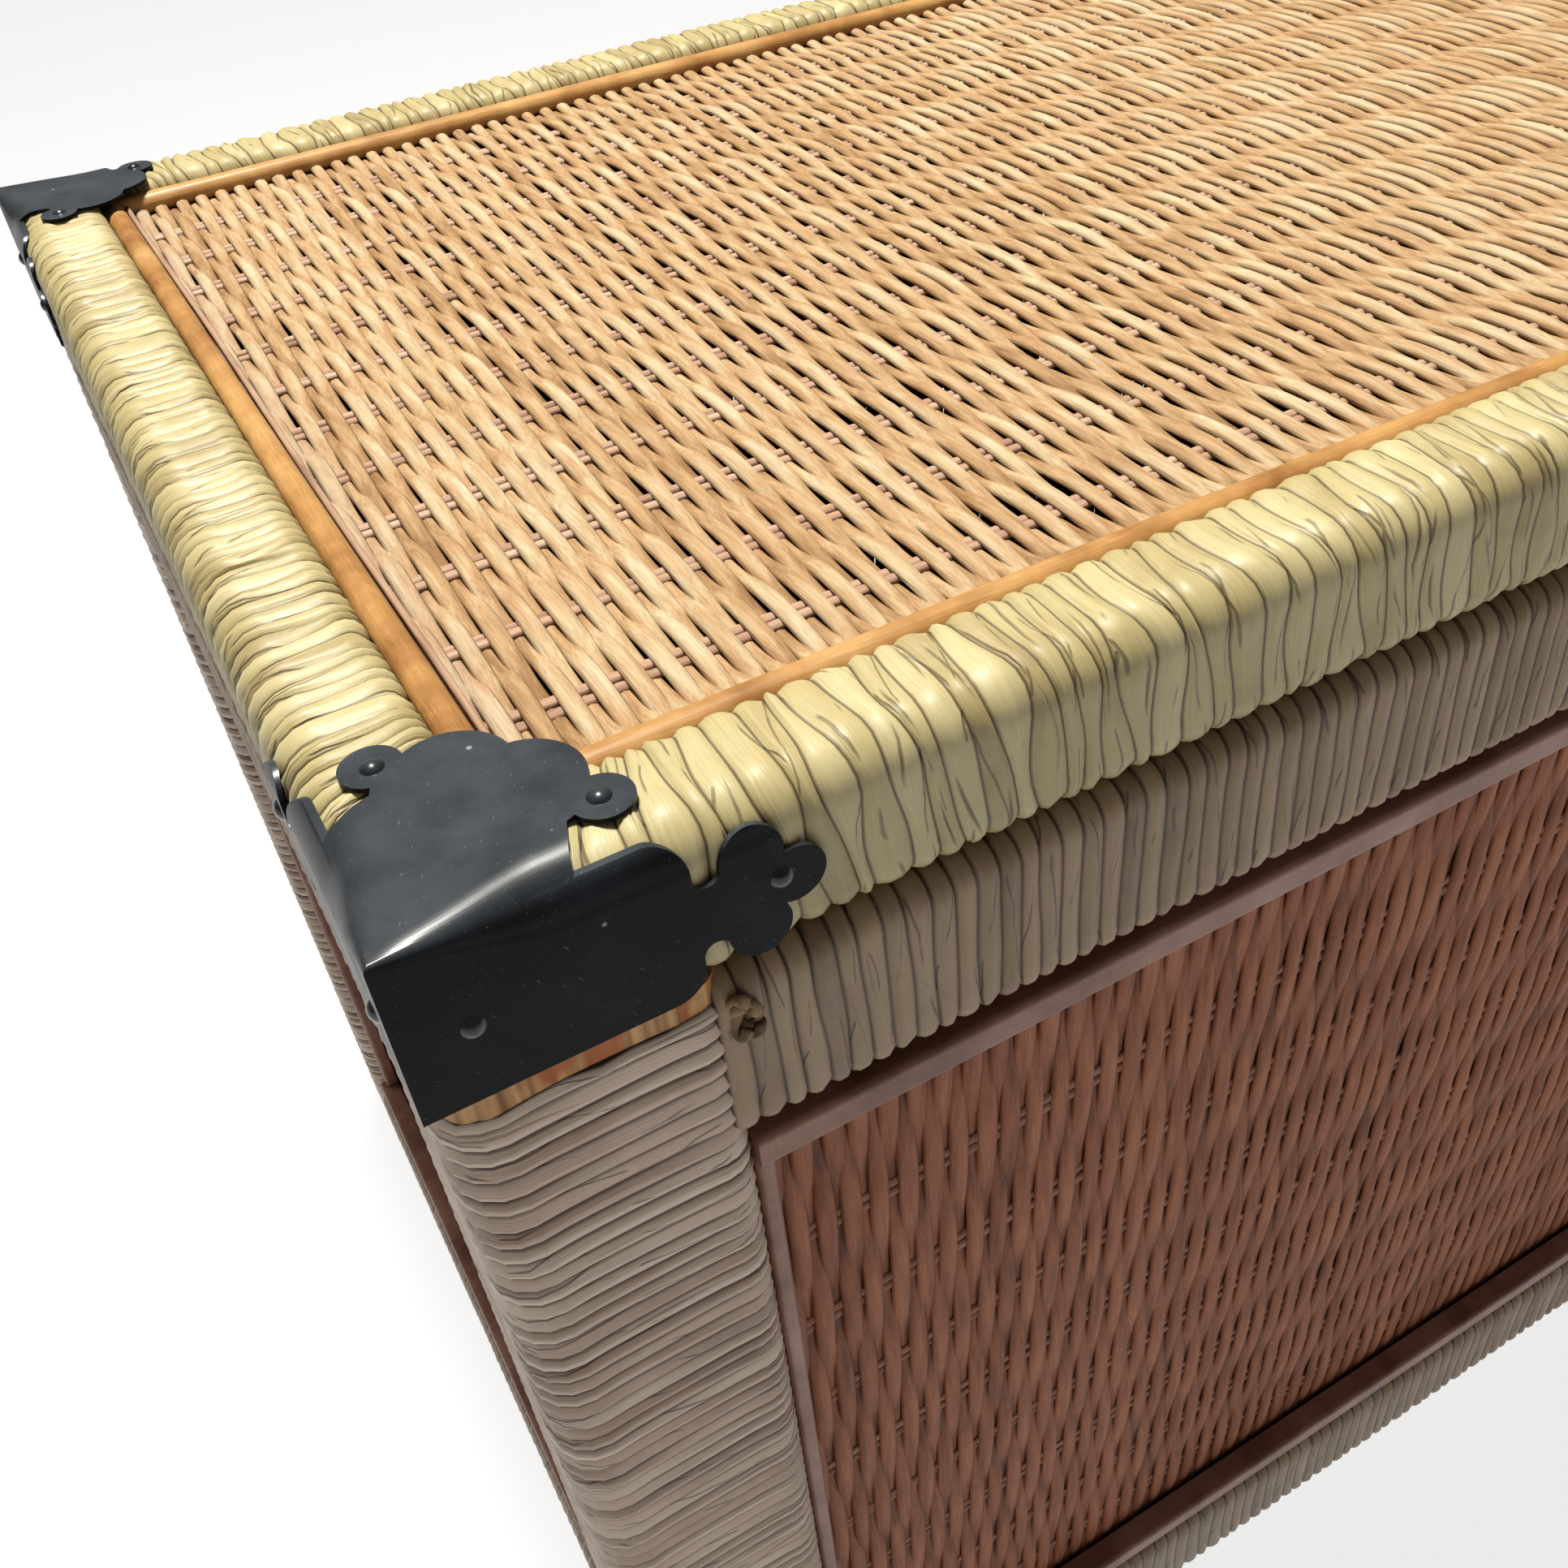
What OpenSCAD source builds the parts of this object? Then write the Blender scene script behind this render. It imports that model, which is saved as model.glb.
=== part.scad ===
// Wicker storage trunk with a hinged lid.
// A wooden frame of posts and rails is wrapped in leaf strip, and woven reed panels fill it.
// Origin: centre of the base on the floor. Front faces -Y, the lid is hinged along the back.

/* [Trunk] */
// Overall length, left to right
trunk_length = 880; // [700:10:1100]
// Depth over the lid brackets, front to back
trunk_depth = 461; // [380:1:560]
// Overall height
trunk_height = 521; // [400:1:620]
// Thickness of the leaf strip wrapped round the frame
wrap_thickness = 1.6; // [1:0.1:2]

/* [Case] */
// Width of a corner post, wrap included
post_width = 61; // [54:1:64]
// Height of post left bare below the lid
post_bare_height = 7; // [4:1:12]
// Width of every rail from its outer to its inner face
rail_width = 30; // [28:1:34]
// Height of the rim and base rails
rail_height = 49; // [44:1:50]
// Thickness of the plywood base board
base_thickness = 6; // [4:1:9]

/* [Panels] */
// Thickness of the woven reed
weave_thickness = 6.4; // [5:0.1:8]
// Depth of the case panels behind the outer faces
panel_recess = 12; // [11:0.5:13]
// Depth of the lid panel below the top of its rails
lid_panel_recess = 7; // [6.5:0.5:9]
// Width of the beads on the lid panel
bead_width = 7.5; // [6:0.5:9]
// Height of the level beads on the case panels
wall_bead_height = 10; // [8:0.5:12]

/* [Lid] */
// Height from the seam to the top of the lid
lid_height = 41; // [40:1:46]
// Gap between the case and the closed lid
seam_gap = 0.8; // [0.6:0.1:1.2]
// Thickness of the iron bracket sheet
bracket_sheet = 1; // [0.8:0.1:1.2]

/* [Hinges] */
// Distance of each hinge from the middle of the back
hinge_spacing = 250; // [180:10:300]
// Length of a hinge leaf
leaf_length = 60; // [48:2:80]
// Height of a hinge leaf from the pin
leaf_height = 25; // [22:1:27]
// Radius of the hinge pin
pin_radius = 1.6; // [1.4:0.1:1.8]

/* [Hidden] */
$fn = 48;

// Hinge section: the pin lies just behind the back face, level with the seam
knuckle_radius = 3.2;
leaf_sheet = 1.4;
pin_clearance = 0.05;
leaf_edge = knuckle_radius + 0.6;
knuckle_gap = 0.3;
leaf_plane = -3.6;
hinge_offset = -leaf_plane - bracket_sheet;
hinge_reach = hinge_offset + knuckle_radius;

// Bracket nails
nail_head_radius = 2.4;
nail_head_height = 1.3;
nail_shank_radius = 0.8;
nail_length = 11;

// Outer planes of the trunk, set so that the overall box is centred on the origin
front_y = -(trunk_depth + hinge_reach - nail_head_height) / 2;
back_y = front_y + trunk_depth;
middle_y = (front_y + back_y) / 2;
seam_z = trunk_height - lid_height;
hinge_y = back_y + hinge_offset;

// Every frame face stands back by the bracket sheet, so the brackets finish flush
face = bracket_sheet;
post_end = face + post_width;
case_top = seam_z - seam_gap / 2;
rim_bottom = case_top - rail_height;
foot_gap = 2;
base_top = foot_gap + rail_height - 1;
rail_inner = face + rail_width;

// Lid levels
lid_bottom = seam_z + seam_gap / 2;
lid_top = trunk_height - face;
lid_rail_height = lid_top - lid_bottom;
lid_panel_top = lid_top - lid_panel_recess;

// Edge roundings, each list running outer bottom, inner bottom, inner top, outer top
case_rail_edges = [6, 5, 5, 8];
lid_rail_edges = [8, 4, 6, 10];
post_edges = [12, 8, 8, 8];

// Strips, cleats and dowels
side_bead_width = 5;
side_bead_depth = 6;
wall_bead_depth = 9;
wall_bead_drop = 5;
lid_bead_height = 4;
strip_width = 10;
strip_depth = 8;
cleat_size = 12;
board_z = foot_gap + cleat_size;
dowel_radius = 5;
dowel_length = 40;
dowel_clearance = 0.05;
joint_gap = 0.2;

// Bracket outline, measured from the corner of the lid
bracket_fold = lid_rail_edges[3] + face;
bracket_reach = 90;
plate_width = 36;
flap_width = 56.5;
flap_top = 3;
flap_bottom = lid_height - seam_gap / 2 - 0.2;
big_lobe = [28.5, 38.5, 12];
small_lobe = [16.6, 48.8, 6.2];
neck = [58, 22];
tip_lobes = [[68.3, 12.5], [76.5, 21], [68.5, 30.5]];
tip_lobe_radius = 6.5;
top_nail = [16.8, 48.4];
plate_notch = [4, 49.5, 11.5];
flap_nails = [[13.5, 22.7], [73.8, 20.5]];

// Hinge screws, measured from the pin
screw_offsets = [-22, 0, 22];
screw_height = 17;
screw_head_radius = 3;
screw_head_height = 1.4;
screw_shank_radius = 1.4;
screw_length = 15;

// A rectangle with its first corner at the origin and its own radius at every corner
module rounded_section(width, height, radii) {
    r = radii;
    polygon([
        [r[0], 0], [width - r[1], 0], [width, r[1]], [width, height - r[2]],
        [width - r[2], height], [r[3], height], [0, height - r[3]], [0, r[0]]
    ]);
    centres = [
        [r[0], r[0]], [width - r[1], r[1]],
        [width - r[2], height - r[2]], [r[3], height - r[3]]
    ];
    for (i = [0:3]) translate(centres[i]) circle(r[i]);
}

// Inset of a section by the wrap thickness
module core_section(width, height, radii) {
    translate([wrap_thickness, wrap_thickness])
        rounded_section(width - 2 * wrap_thickness, height - 2 * wrap_thickness,
                        [for (r = radii) r - wrap_thickness]);
}

module sleeve_section(width, height, radii) {
    difference() {
        rounded_section(width, height, radii);
        core_section(width, height, radii);
    }
}

// Extrudes a section along X, centred, with its width running along Y and its height along Z
module along_x(length) {
    translate([-length / 2, 0, 0]) rotate([90, 0, 90]) linear_extrude(length) children();
}

// Places a piece drawn for the front, whose outer plane is y = 0, on one of the four sides
module on_side(side) {
    if (side == "front") translate([0, front_y, 0]) children();
    if (side == "back") translate([0, back_y, 0]) mirror([0, 1, 0]) children();
    if (side == "left") translate([-trunk_length / 2, middle_y, 0]) rotate([0, 0, -90]) children();
    if (side == "right") translate([trunk_length / 2, middle_y, 0]) rotate([0, 0, 90]) children();
}

function side_length(side) = (side == "front" || side == "back") ? trunk_length : trunk_depth;
function rail_length(side) = side_length(side) - 2 * post_end;

// Places a piece drawn for the front left corner, whose outer planes are x = 0 and y = 0
module on_corner(right, back) {
    translate([right ? trunk_length / 2 : -trunk_length / 2, back ? back_y : front_y, 0])
        mirror([right ? 1 : 0, 0, 0])
            mirror([0, back ? 1 : 0, 0])
                children();
}

// ---- Case frame ----

// Dowels of one rail end, in the frame of the side it belongs to
module side_dowels(side, rail_z, radius, length) {
    for (end = [-1, 1])
        translate([end * rail_length(side) / 2, face + rail_width / 2, rail_z + rail_height / 2])
            rotate([0, 90, 0]) cylinder(r = radius, h = length, center = true);
}

module post_dowel_holes() {
    hole_radius = dowel_radius + dowel_clearance;
    hole_length = dowel_length + 1;
    for (rail_z = [foot_gap - 0.5, rim_bottom]) {
        translate([post_end, face + rail_width / 2, rail_z + rail_height / 2])
            rotate([0, 90, 0]) cylinder(r = hole_radius, h = hole_length, center = true);
        translate([face + rail_width / 2, post_end, rail_z + rail_height / 2])
            rotate([90, 0, 0]) cylinder(r = hole_radius, h = hole_length, center = true);
    }
}

module post(right, back) {
    color("peru") on_corner(right, back) difference() {
        translate([face, face, 0]) linear_extrude(case_top)
            core_section(post_width, post_width, post_edges);
        post_dowel_holes();
    }
}

module post_wrap(right, back) {
    color("tan") on_corner(right, back) difference() {
        translate([face, face, foot_gap]) linear_extrude(case_top - post_bare_height - foot_gap)
            sleeve_section(post_width, post_width, post_edges);
        post_dowel_holes();
    }
}

module case_rail(side, rail_z) {
    height = rail_z == rim_bottom ? rail_height : rail_height - 1;
    dowel_z = rail_z == rim_bottom ? rail_z : rail_z - 0.5;
    color("burlywood") on_side(side) difference() {
        translate([0, face, rail_z]) along_x(rail_length(side))
            core_section(rail_width, height, case_rail_edges);
        side_dowels(side, dowel_z, dowel_radius + dowel_clearance, dowel_length + 1);
    }
}

module case_rail_wrap(side, rail_z) {
    height = rail_z == rim_bottom ? rail_height : rail_height - 1;
    color("khaki") on_side(side) translate([0, face, rail_z]) along_x(rail_length(side))
        sleeve_section(rail_width, height, case_rail_edges);
}

module rail_dowels() {
    color("wheat") for (side = ["front", "back", "left", "right"]) on_side(side) {
        side_dowels(side, rim_bottom, dowel_radius, dowel_length);
        side_dowels(side, foot_gap - 0.5, dowel_radius, dowel_length);
    }
}

// ---- Case panels ----

// A woven sheet that fills the space between two posts, the base rail and the rim rail
module case_panel(side) {
    color("sandybrown") on_side(side)
        translate([-rail_length(side) / 2, panel_recess, base_top])
            cube([rail_length(side), weave_thickness, rim_bottom - base_top]);
}

module bead_section(depth, width) {
    rounded_section(depth, width, [2, 0.2, 0.2, 2]);
}

// Four beads on the outside of a panel cover its edges. The top one hangs just below the rim rail.
module case_beads(side) {
    length = rail_length(side);
    top_bead = rim_bottom - wall_bead_drop - wall_bead_height;
    side_bottom = base_top + wall_bead_height + joint_gap;
    color("goldenrod") on_side(side) {
        for (z = [base_top, top_bead])
            translate([0, panel_recess - wall_bead_depth, z])
                along_x(length) bead_section(wall_bead_depth, wall_bead_height);
        for (x = [-length / 2, length / 2 - side_bead_width])
            translate([x, panel_recess - side_bead_depth, side_bottom])
                linear_extrude(top_bead - joint_gap - side_bottom)
                    mirror([1, -1]) bead_section(side_bead_depth, side_bead_width);
    }
}

// Square strips behind the panels, which hold them against the beads
module inner_strips() {
    color("tan") for (side = ["front", "back", "left", "right"]) on_side(side)
        translate([0, panel_recess + weave_thickness, 0]) {
            length = rail_length(side);
            side_height = rim_bottom - base_top - 2 * strip_width - 2 * joint_gap;
            for (z = [base_top, rim_bottom - strip_width])
                translate([-length / 2, 0, z]) cube([length, strip_depth, strip_width]);
            for (x = [-length / 2, length / 2 - strip_width])
                translate([x, 0, base_top + strip_width + joint_gap])
                    cube([strip_width, strip_depth, side_height]);
        }
}

// Plywood floor with its corners cut out round the posts
module base_board() {
    notch = post_end - rail_inner + 0.5;
    size = [trunk_length - 2 * rail_inner, trunk_depth - 2 * rail_inner];
    color("burlywood") translate([0, middle_y, board_z]) linear_extrude(base_thickness) difference() {
        square(size, center = true);
        for (x = [-1, 1], y = [-1, 1])
            translate([x * size[0] / 2, y * size[1] / 2]) square(2 * notch, center = true);
    }
}

module base_cleats() {
    color("tan") for (side = ["front", "back"]) on_side(side)
        translate([-rail_length(side) / 2, rail_inner, foot_gap])
            cube([rail_length(side), cleat_size, cleat_size]);
}

// ---- Lid frame and panel ----

// Cuts both ends of a side at 45 degrees, standing back from the mitre by a gap
module mitred(side, gap) {
    half = side_length(side) / 2 - gap;
    difference() {
        children();
        for (end = [0, 1]) mirror([end, 0, 0])
            translate([half, 0, 0]) rotate([0, 0, 45]) translate([0, -100, seam_z - 1])
                cube([100, 200, lid_height + 2]);
    }
}

module lid_rail(side) {
    color("burlywood") on_side(side) mitred(side, 0)
        translate([0, face, lid_bottom]) along_x(side_length(side))
            core_section(rail_width, lid_rail_height, lid_rail_edges);
}

module lid_rail_wrap(side) {
    color("khaki") on_side(side) mitred(side, 0)
        translate([0, face, lid_bottom]) along_x(side_length(side))
            sleeve_section(rail_width, lid_rail_height, lid_rail_edges);
}

module lid_panel() {
    size = [trunk_length - 2 * rail_inner, trunk_depth - 2 * rail_inner, weave_thickness];
    color("sandybrown")
        translate([-size[0] / 2, middle_y - size[1] / 2, lid_panel_top - weave_thickness])
            cube(size);
}

module lid_beads() {
    color("goldenrod") for (side = ["front", "back", "left", "right"]) on_side(side) mitred(side, joint_gap)
        translate([0, rail_inner, lid_panel_top]) along_x(side_length(side))
            rounded_section(bead_width, lid_bead_height, [0.2, 0.2, 2, 2]);
}

module lid_inner_strips() {
    color("tan") for (side = ["front", "back", "left", "right"]) on_side(side) mitred(side, joint_gap)
        translate([0, rail_inner, lid_panel_top - weave_thickness - strip_depth])
            along_x(side_length(side)) square([strip_width, strip_depth]);
}

// ---- Lid corner brackets ----

// The corner of the lid as a solid, standing in by an amount from the bracket's outer surface
module corner_block(inset) {
    section_height = lid_height - inset;
    radius = bracket_fold - inset;
    intersection() {
        translate([bracket_reach / 2, inset, seam_z]) along_x(bracket_reach)
            rounded_section(bracket_reach, section_height, [0.1, 0.1, 0.1, radius]);
        translate([inset, bracket_reach / 2, seam_z]) mirror([1, -1, 0]) along_x(bracket_reach)
            rounded_section(bracket_reach, section_height, [0.1, 0.1, 0.1, radius]);
    }
}

// Half of the top plate's outline: the other half is its mirror image about the diagonal
module plate_half() {
    difference() {
        union() {
            polygon([[0, 0], [0, plate_width], [14, 41], top_nail, [big_lobe[0], big_lobe[1]], [40, 40]]);
            translate([big_lobe[0], big_lobe[1]]) circle(big_lobe[2]);
        }
        translate([plate_notch[0], plate_notch[1]]) circle(plate_notch[2]);
    }
    translate([small_lobe[0], small_lobe[1]]) circle(small_lobe[2]);
}

// A side flap's outline, measured along the side and down from the top
module flap_outline() {
    shoulder = 7;
    translate([0, flap_top])
        rounded_section(flap_width, flap_bottom - flap_top, [0.1, shoulder, shoulder, 3]);
    difference() {
        translate([flap_width - 4, neck[1] - 9]) square([14, 18]);
        for (w = [neck[1] - 10, neck[1] + 9.6]) translate([neck[0] + 1.3, w]) circle(2.8);
    }
    translate([neck[0] + 6, neck[1] - 6]) square([8, 12]);
    for (lobe = tip_lobes) translate(lobe) circle(tip_lobe_radius);
}

module flap_prism() {
    translate([0, bracket_fold, trunk_height]) rotate([90, 0, 0])
        linear_extrude(bracket_fold + 1) mirror([0, 1]) flap_outline();
}

module swap_diagonal() {
    children();
    mirror([1, -1, 0]) children();
}

module nail() {
    sphere_radius = (nail_head_radius * nail_head_radius + nail_head_height * nail_head_height)
                    / (2 * nail_head_height);
    intersection() {
        translate([0, 0, nail_head_height - sphere_radius]) sphere(sphere_radius);
        translate([-5, -5, 0]) cube([10, 10, 5]);
    }
    translate([0, 0, -nail_length]) cylinder(r = nail_shank_radius, h = nail_length);
}

// Places a nail, drawn pointing up, at all six places on one bracket
module nail_places() {
    swap_diagonal() {
        translate([top_nail[0], top_nail[1], trunk_height]) children();
        for (place = flap_nails)
            translate([place[0], 0, trunk_height - place[1]]) rotate([90, 0, 0]) children();
    }
}

module bracket(right, back) {
    color("dimgray") on_corner(right, back) difference() {
        intersection() {
            difference() {
                corner_block(0);
                corner_block(face);
            }
            union() {
                translate([0, 0, seam_z - 1]) linear_extrude(lid_height + 2) {
                    plate_half();
                    mirror([1, -1]) plate_half();
                }
                swap_diagonal() flap_prism();
            }
        }
        translate([-1, -1, seam_z - 1]) cube([bracket_reach + 2, bracket_reach + 2,
                                              1 + lid_height - flap_bottom]);
        nail_places() translate([0, 0, -3]) cylinder(r = nail_shank_radius + 0.05, h = 4);
    }
}

module bracket_nails() {
    color("gray") for (right = [false, true], back = [false, true])
        on_corner(right, back) nail_places() nail();
}

// ---- Hinges ----

// Splits the knuckle into five: the case leaf has the outer and middle ones
knuckle_count = 5;
knuckle_length = leaf_length / knuckle_count;

function knuckle_start(i) = -leaf_length / 2 + i * knuckle_length + (i == 0 ? 0 : knuckle_gap / 2);
function knuckle_end(i) = -leaf_length / 2 + (i + 1) * knuckle_length
                          - (i == knuckle_count - 1 ? 0 : knuckle_gap / 2);

// A leaf drawn for the lid, rising from the pin at the origin
module leaf(first) {
    difference() {
        union() {
            translate([-leaf_length / 2, leaf_plane, leaf_edge])
                cube([leaf_length, leaf_sheet, leaf_height - leaf_edge]);
            for (i = [first:2:knuckle_count - 1]) {
                length = knuckle_end(i) - knuckle_start(i);
                translate([knuckle_start(i), 0, 0]) rotate([0, 90, 0])
                    cylinder(r = knuckle_radius, h = length);
                translate([knuckle_start(i), leaf_plane, 0])
                    cube([length, leaf_sheet, leaf_edge + 1]);
            }
        }
        translate([-leaf_length / 2 - 1, 0, 0]) rotate([0, 90, 0])
            cylinder(r = pin_radius + pin_clearance, h = leaf_length + 2);
        for (x = screw_offsets)
            translate([x, 0, screw_height]) rotate([90, 0, 0])
                cylinder(r = screw_shank_radius + 0.1, h = 10);
    }
}

module hinge_lid_leaf(x) {
    color("dimgray") translate([x, hinge_y, seam_z]) leaf(1);
}

module hinge_case_leaf(x) {
    color("dimgray") translate([x, hinge_y, seam_z]) mirror([0, 0, 1]) leaf(0);
}

module hinge_pins() {
    color("silver") for (x = [-hinge_spacing, hinge_spacing])
        translate([x - leaf_length / 2, hinge_y, seam_z]) rotate([0, 90, 0])
            cylinder(r = pin_radius, h = leaf_length);
}

// Domed wood screws through both leaves of one kind
module hinge_screws(up) {
    sphere_radius = (screw_head_radius * screw_head_radius + screw_head_height * screw_head_height)
                    / (2 * screw_head_height);
    color("gray") for (x = [-hinge_spacing, hinge_spacing], offset_x = screw_offsets)
        translate([x + offset_x, back_y - face + leaf_sheet, seam_z + up * screw_height])
            rotate([-90, 0, 0]) {
                intersection() {
                    translate([0, 0, screw_head_height - sphere_radius]) sphere(sphere_radius);
                    translate([-5, -5, 0]) cube([10, 10, 5]);
                }
                translate([0, 0, -screw_length]) cylinder(r = screw_shank_radius, h = screw_length);
            }
}

post(false, false);  // front_left_post
post(true, false);  // front_right_post
post(false, true);  // back_left_post
post(true, true);  // back_right_post
post_wrap(false, false);  // front_left_post_wrap
post_wrap(true, false);  // front_right_post_wrap
post_wrap(false, true);  // back_left_post_wrap
post_wrap(true, true);  // back_right_post_wrap
case_rail("front", rim_bottom);  // rim_front_rail
case_rail("back", rim_bottom);  // rim_back_rail
case_rail("left", rim_bottom);  // rim_left_rail
case_rail("right", rim_bottom);  // rim_right_rail
case_rail_wrap("front", rim_bottom);  // rim_front_wrap
case_rail_wrap("back", rim_bottom);  // rim_back_wrap
case_rail_wrap("left", rim_bottom);  // rim_left_wrap
case_rail_wrap("right", rim_bottom);  // rim_right_wrap
case_rail("front", foot_gap);  // base_front_rail
case_rail("back", foot_gap);  // base_back_rail
case_rail("left", foot_gap);  // base_left_rail
case_rail("right", foot_gap);  // base_right_rail
case_rail_wrap("front", foot_gap);  // base_front_wrap
case_rail_wrap("back", foot_gap);  // base_back_wrap
case_rail_wrap("left", foot_gap);  // base_left_wrap
case_rail_wrap("right", foot_gap);  // base_right_wrap
case_panel("front");  // front_panel
case_panel("back");  // back_panel
case_panel("left");  // left_panel
case_panel("right");  // right_panel
case_beads("front");  // front_beads
case_beads("back");  // back_beads
case_beads("left");  // left_beads
case_beads("right");  // right_beads
inner_strips();
base_board();
base_cleats();
rail_dowels();
lid_rail("front");  // lid_front_rail
lid_rail("back");  // lid_back_rail
lid_rail("left");  // lid_left_rail
lid_rail("right");  // lid_right_rail
lid_rail_wrap("front");  // lid_front_wrap
lid_rail_wrap("back");  // lid_back_wrap
lid_rail_wrap("left");  // lid_left_wrap
lid_rail_wrap("right");  // lid_right_wrap
lid_panel();
lid_beads();
lid_inner_strips();
bracket(false, false);  // front_left_bracket
bracket(true, false);  // front_right_bracket
bracket(false, true);  // back_left_bracket
bracket(true, true);  // back_right_bracket
bracket_nails();
hinge_case_leaf(-hinge_spacing);  // left_hinge_case_leaf
hinge_lid_leaf(-hinge_spacing);  // left_hinge_lid_leaf
hinge_case_leaf(hinge_spacing);  // right_hinge_case_leaf
hinge_lid_leaf(hinge_spacing);  // right_hinge_lid_leaf
hinge_pins();
hinge_screws(-1);  // case_hinge_screws
hinge_screws(1);  // lid_hinge_screws
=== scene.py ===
import math

import bmesh
import bpy
import numpy as np
from mathutils import Matrix, Vector


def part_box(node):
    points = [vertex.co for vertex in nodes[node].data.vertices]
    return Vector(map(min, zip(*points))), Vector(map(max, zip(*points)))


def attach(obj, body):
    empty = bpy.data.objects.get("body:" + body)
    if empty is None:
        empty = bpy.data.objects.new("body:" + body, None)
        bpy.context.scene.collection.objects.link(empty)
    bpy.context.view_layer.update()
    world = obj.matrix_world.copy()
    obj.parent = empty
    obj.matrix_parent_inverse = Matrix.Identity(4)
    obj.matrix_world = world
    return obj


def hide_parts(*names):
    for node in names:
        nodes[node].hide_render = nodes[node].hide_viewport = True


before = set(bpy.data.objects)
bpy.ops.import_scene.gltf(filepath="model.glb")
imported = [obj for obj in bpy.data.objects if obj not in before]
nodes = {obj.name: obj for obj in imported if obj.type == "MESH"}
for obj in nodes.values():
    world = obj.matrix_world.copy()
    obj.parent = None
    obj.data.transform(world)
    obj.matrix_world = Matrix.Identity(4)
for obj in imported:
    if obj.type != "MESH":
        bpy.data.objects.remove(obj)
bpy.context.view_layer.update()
corners = ("front_left", "front_right", "back_left", "back_right")
sides = ("front", "back", "left", "right")


# ---- Corner posts and rails
# Planed softwood, rubbed with a brown stain and thinly varnished. The rails are dowelled and glued into the
# posts. Leaf strip covers nearly all of it, so what shows is the posts' feet and a bare band at their tops.

def linear(hex_colour):
    """The linear colour that a shader socket takes, from an sRGB hex value."""
    channels = [int(hex_colour[i:i + 2], 16) / 255 for i in (1, 3, 5)]
    return [c / 12.92 if c <= 0.04045 else ((c + 0.055) / 1.055) ** 2.4 for c in channels] + [1.0]


def add_node(tree, kind, inputs=None, stops=None, **settings):
    """A shader node with its settings, its sockets' values or links, and a ramp's stops. A stop is a place
    and a hex colour."""
    node = tree.nodes.new(kind)
    for name, value in settings.items():
        setattr(node, name, value)
    for socket, value in (inputs or {}).items():
        if isinstance(value, bpy.types.NodeSocket):
            tree.links.new(value, node.inputs[socket])
        else:
            node.inputs[socket].default_value = value
    for i, (place, colour) in enumerate(stops or []):
        element = node.color_ramp.elements[i] if i < 2 else node.color_ramp.elements.new(place)
        element.position = place
        element.color = linear(colour)
    return node


def new_finish(name, **shader_values):
    """A material's tree, its Principled shader with those socket values, and its Object coordinates."""
    finish = bpy.data.materials.new(name)
    finish.use_nodes = True
    tree = finish.node_tree
    shader = tree.nodes["Principled BSDF"]
    for socket, value in shader_values.items():
        shader.inputs[socket.replace("_", " ")].default_value = value
    place = add_node(tree, "ShaderNodeTexCoord").outputs["Object"]
    return finish, tree, shader, place


def stained_softwood(name, grain, light="#C09660", mid="#A07444", dark="#6E4526"):
    """Stained pine: soft brown with darker late-wood lines along the grain and orange pools of varnish."""
    finish, tree, shader, place = new_finish(
        name, IOR=1.5, Specular_IOR_Level=0.25, Coat_Weight=0.05, Coat_Roughness=0.3)
    across, along = 1 / 0.0022, 1 / 0.06
    stretch = [along if axis == grain else across for axis in "XYZ"]
    lines = add_node(tree, "ShaderNodeMapping", {"Vector": place, "Scale": stretch})
    rings = add_node(tree, "ShaderNodeTexNoise", {"Vector": lines.outputs[0], "Scale": 1.0, "Detail": 4.0})
    pools = add_node(tree, "ShaderNodeTexNoise", {"Vector": place, "Scale": 1 / 0.014, "Detail": 2.0})
    wood = add_node(tree, "ShaderNodeValToRGB", {"Fac": rings.outputs["Fac"]},
                    [(0.32, dark), (0.68, light), (0.48, mid)])
    patch = add_node(tree, "ShaderNodeValToRGB", {"Fac": pools.outputs["Fac"]},
                     [(0.51, "#000000"), (0.59, "#FFFFFF")])
    pooled = add_node(tree, "ShaderNodeMath", {0: patch.outputs[0], 1: 0.85}, operation="MULTIPLY")
    varnish = add_node(tree, "ShaderNodeMix", {0: pooled.outputs[0], 6: wood.outputs[0],
                       7: linear("#9A4A0A")}, data_type="RGBA")
    rough = add_node(tree, "ShaderNodeMapRange", {"Value": rings.outputs["Fac"], "To Min": 0.62,
                     "To Max": 0.42})
    bump = add_node(tree, "ShaderNodeBump", {"Height": rings.outputs["Fac"], "Strength": 0.35,
                    "Distance": 0.0004})
    tree.links.new(varnish.outputs[2], shader.inputs["Base Color"])
    tree.links.new(rough.outputs[0], shader.inputs["Roughness"])
    tree.links.new(bump.outputs[0], shader.inputs["Normal"])
    return finish


pine_upright = stained_softwood("stained_pine_upright", "Z")
pine_lengthwise = stained_softwood("stained_pine_lengthwise", "X")
pine_crosswise = stained_softwood("stained_pine_crosswise", "Y")
for corner in corners:
    nodes[corner + "_post"].material_slots[0].material = pine_upright
for side in sides:
    along_side = pine_lengthwise if side in ("front", "back") else pine_crosswise
    for tier in ("rim_", "base_", "lid_"):
        nodes[tier + side + "_rail"].material_slots[0].material = along_side
nodes["rail_dowels"].material_slots[0].material = pine_lengthwise


# ---- Leaf-strip wraps
# Strips of dry leaf, 5 to 7 mm wide once folded, wound tightly round every post and rail and lacquered. Each
# turn is a soft pad, pinched into creases where it folds over an edge, with a groove to the next that painted
# shade darkens.

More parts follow.
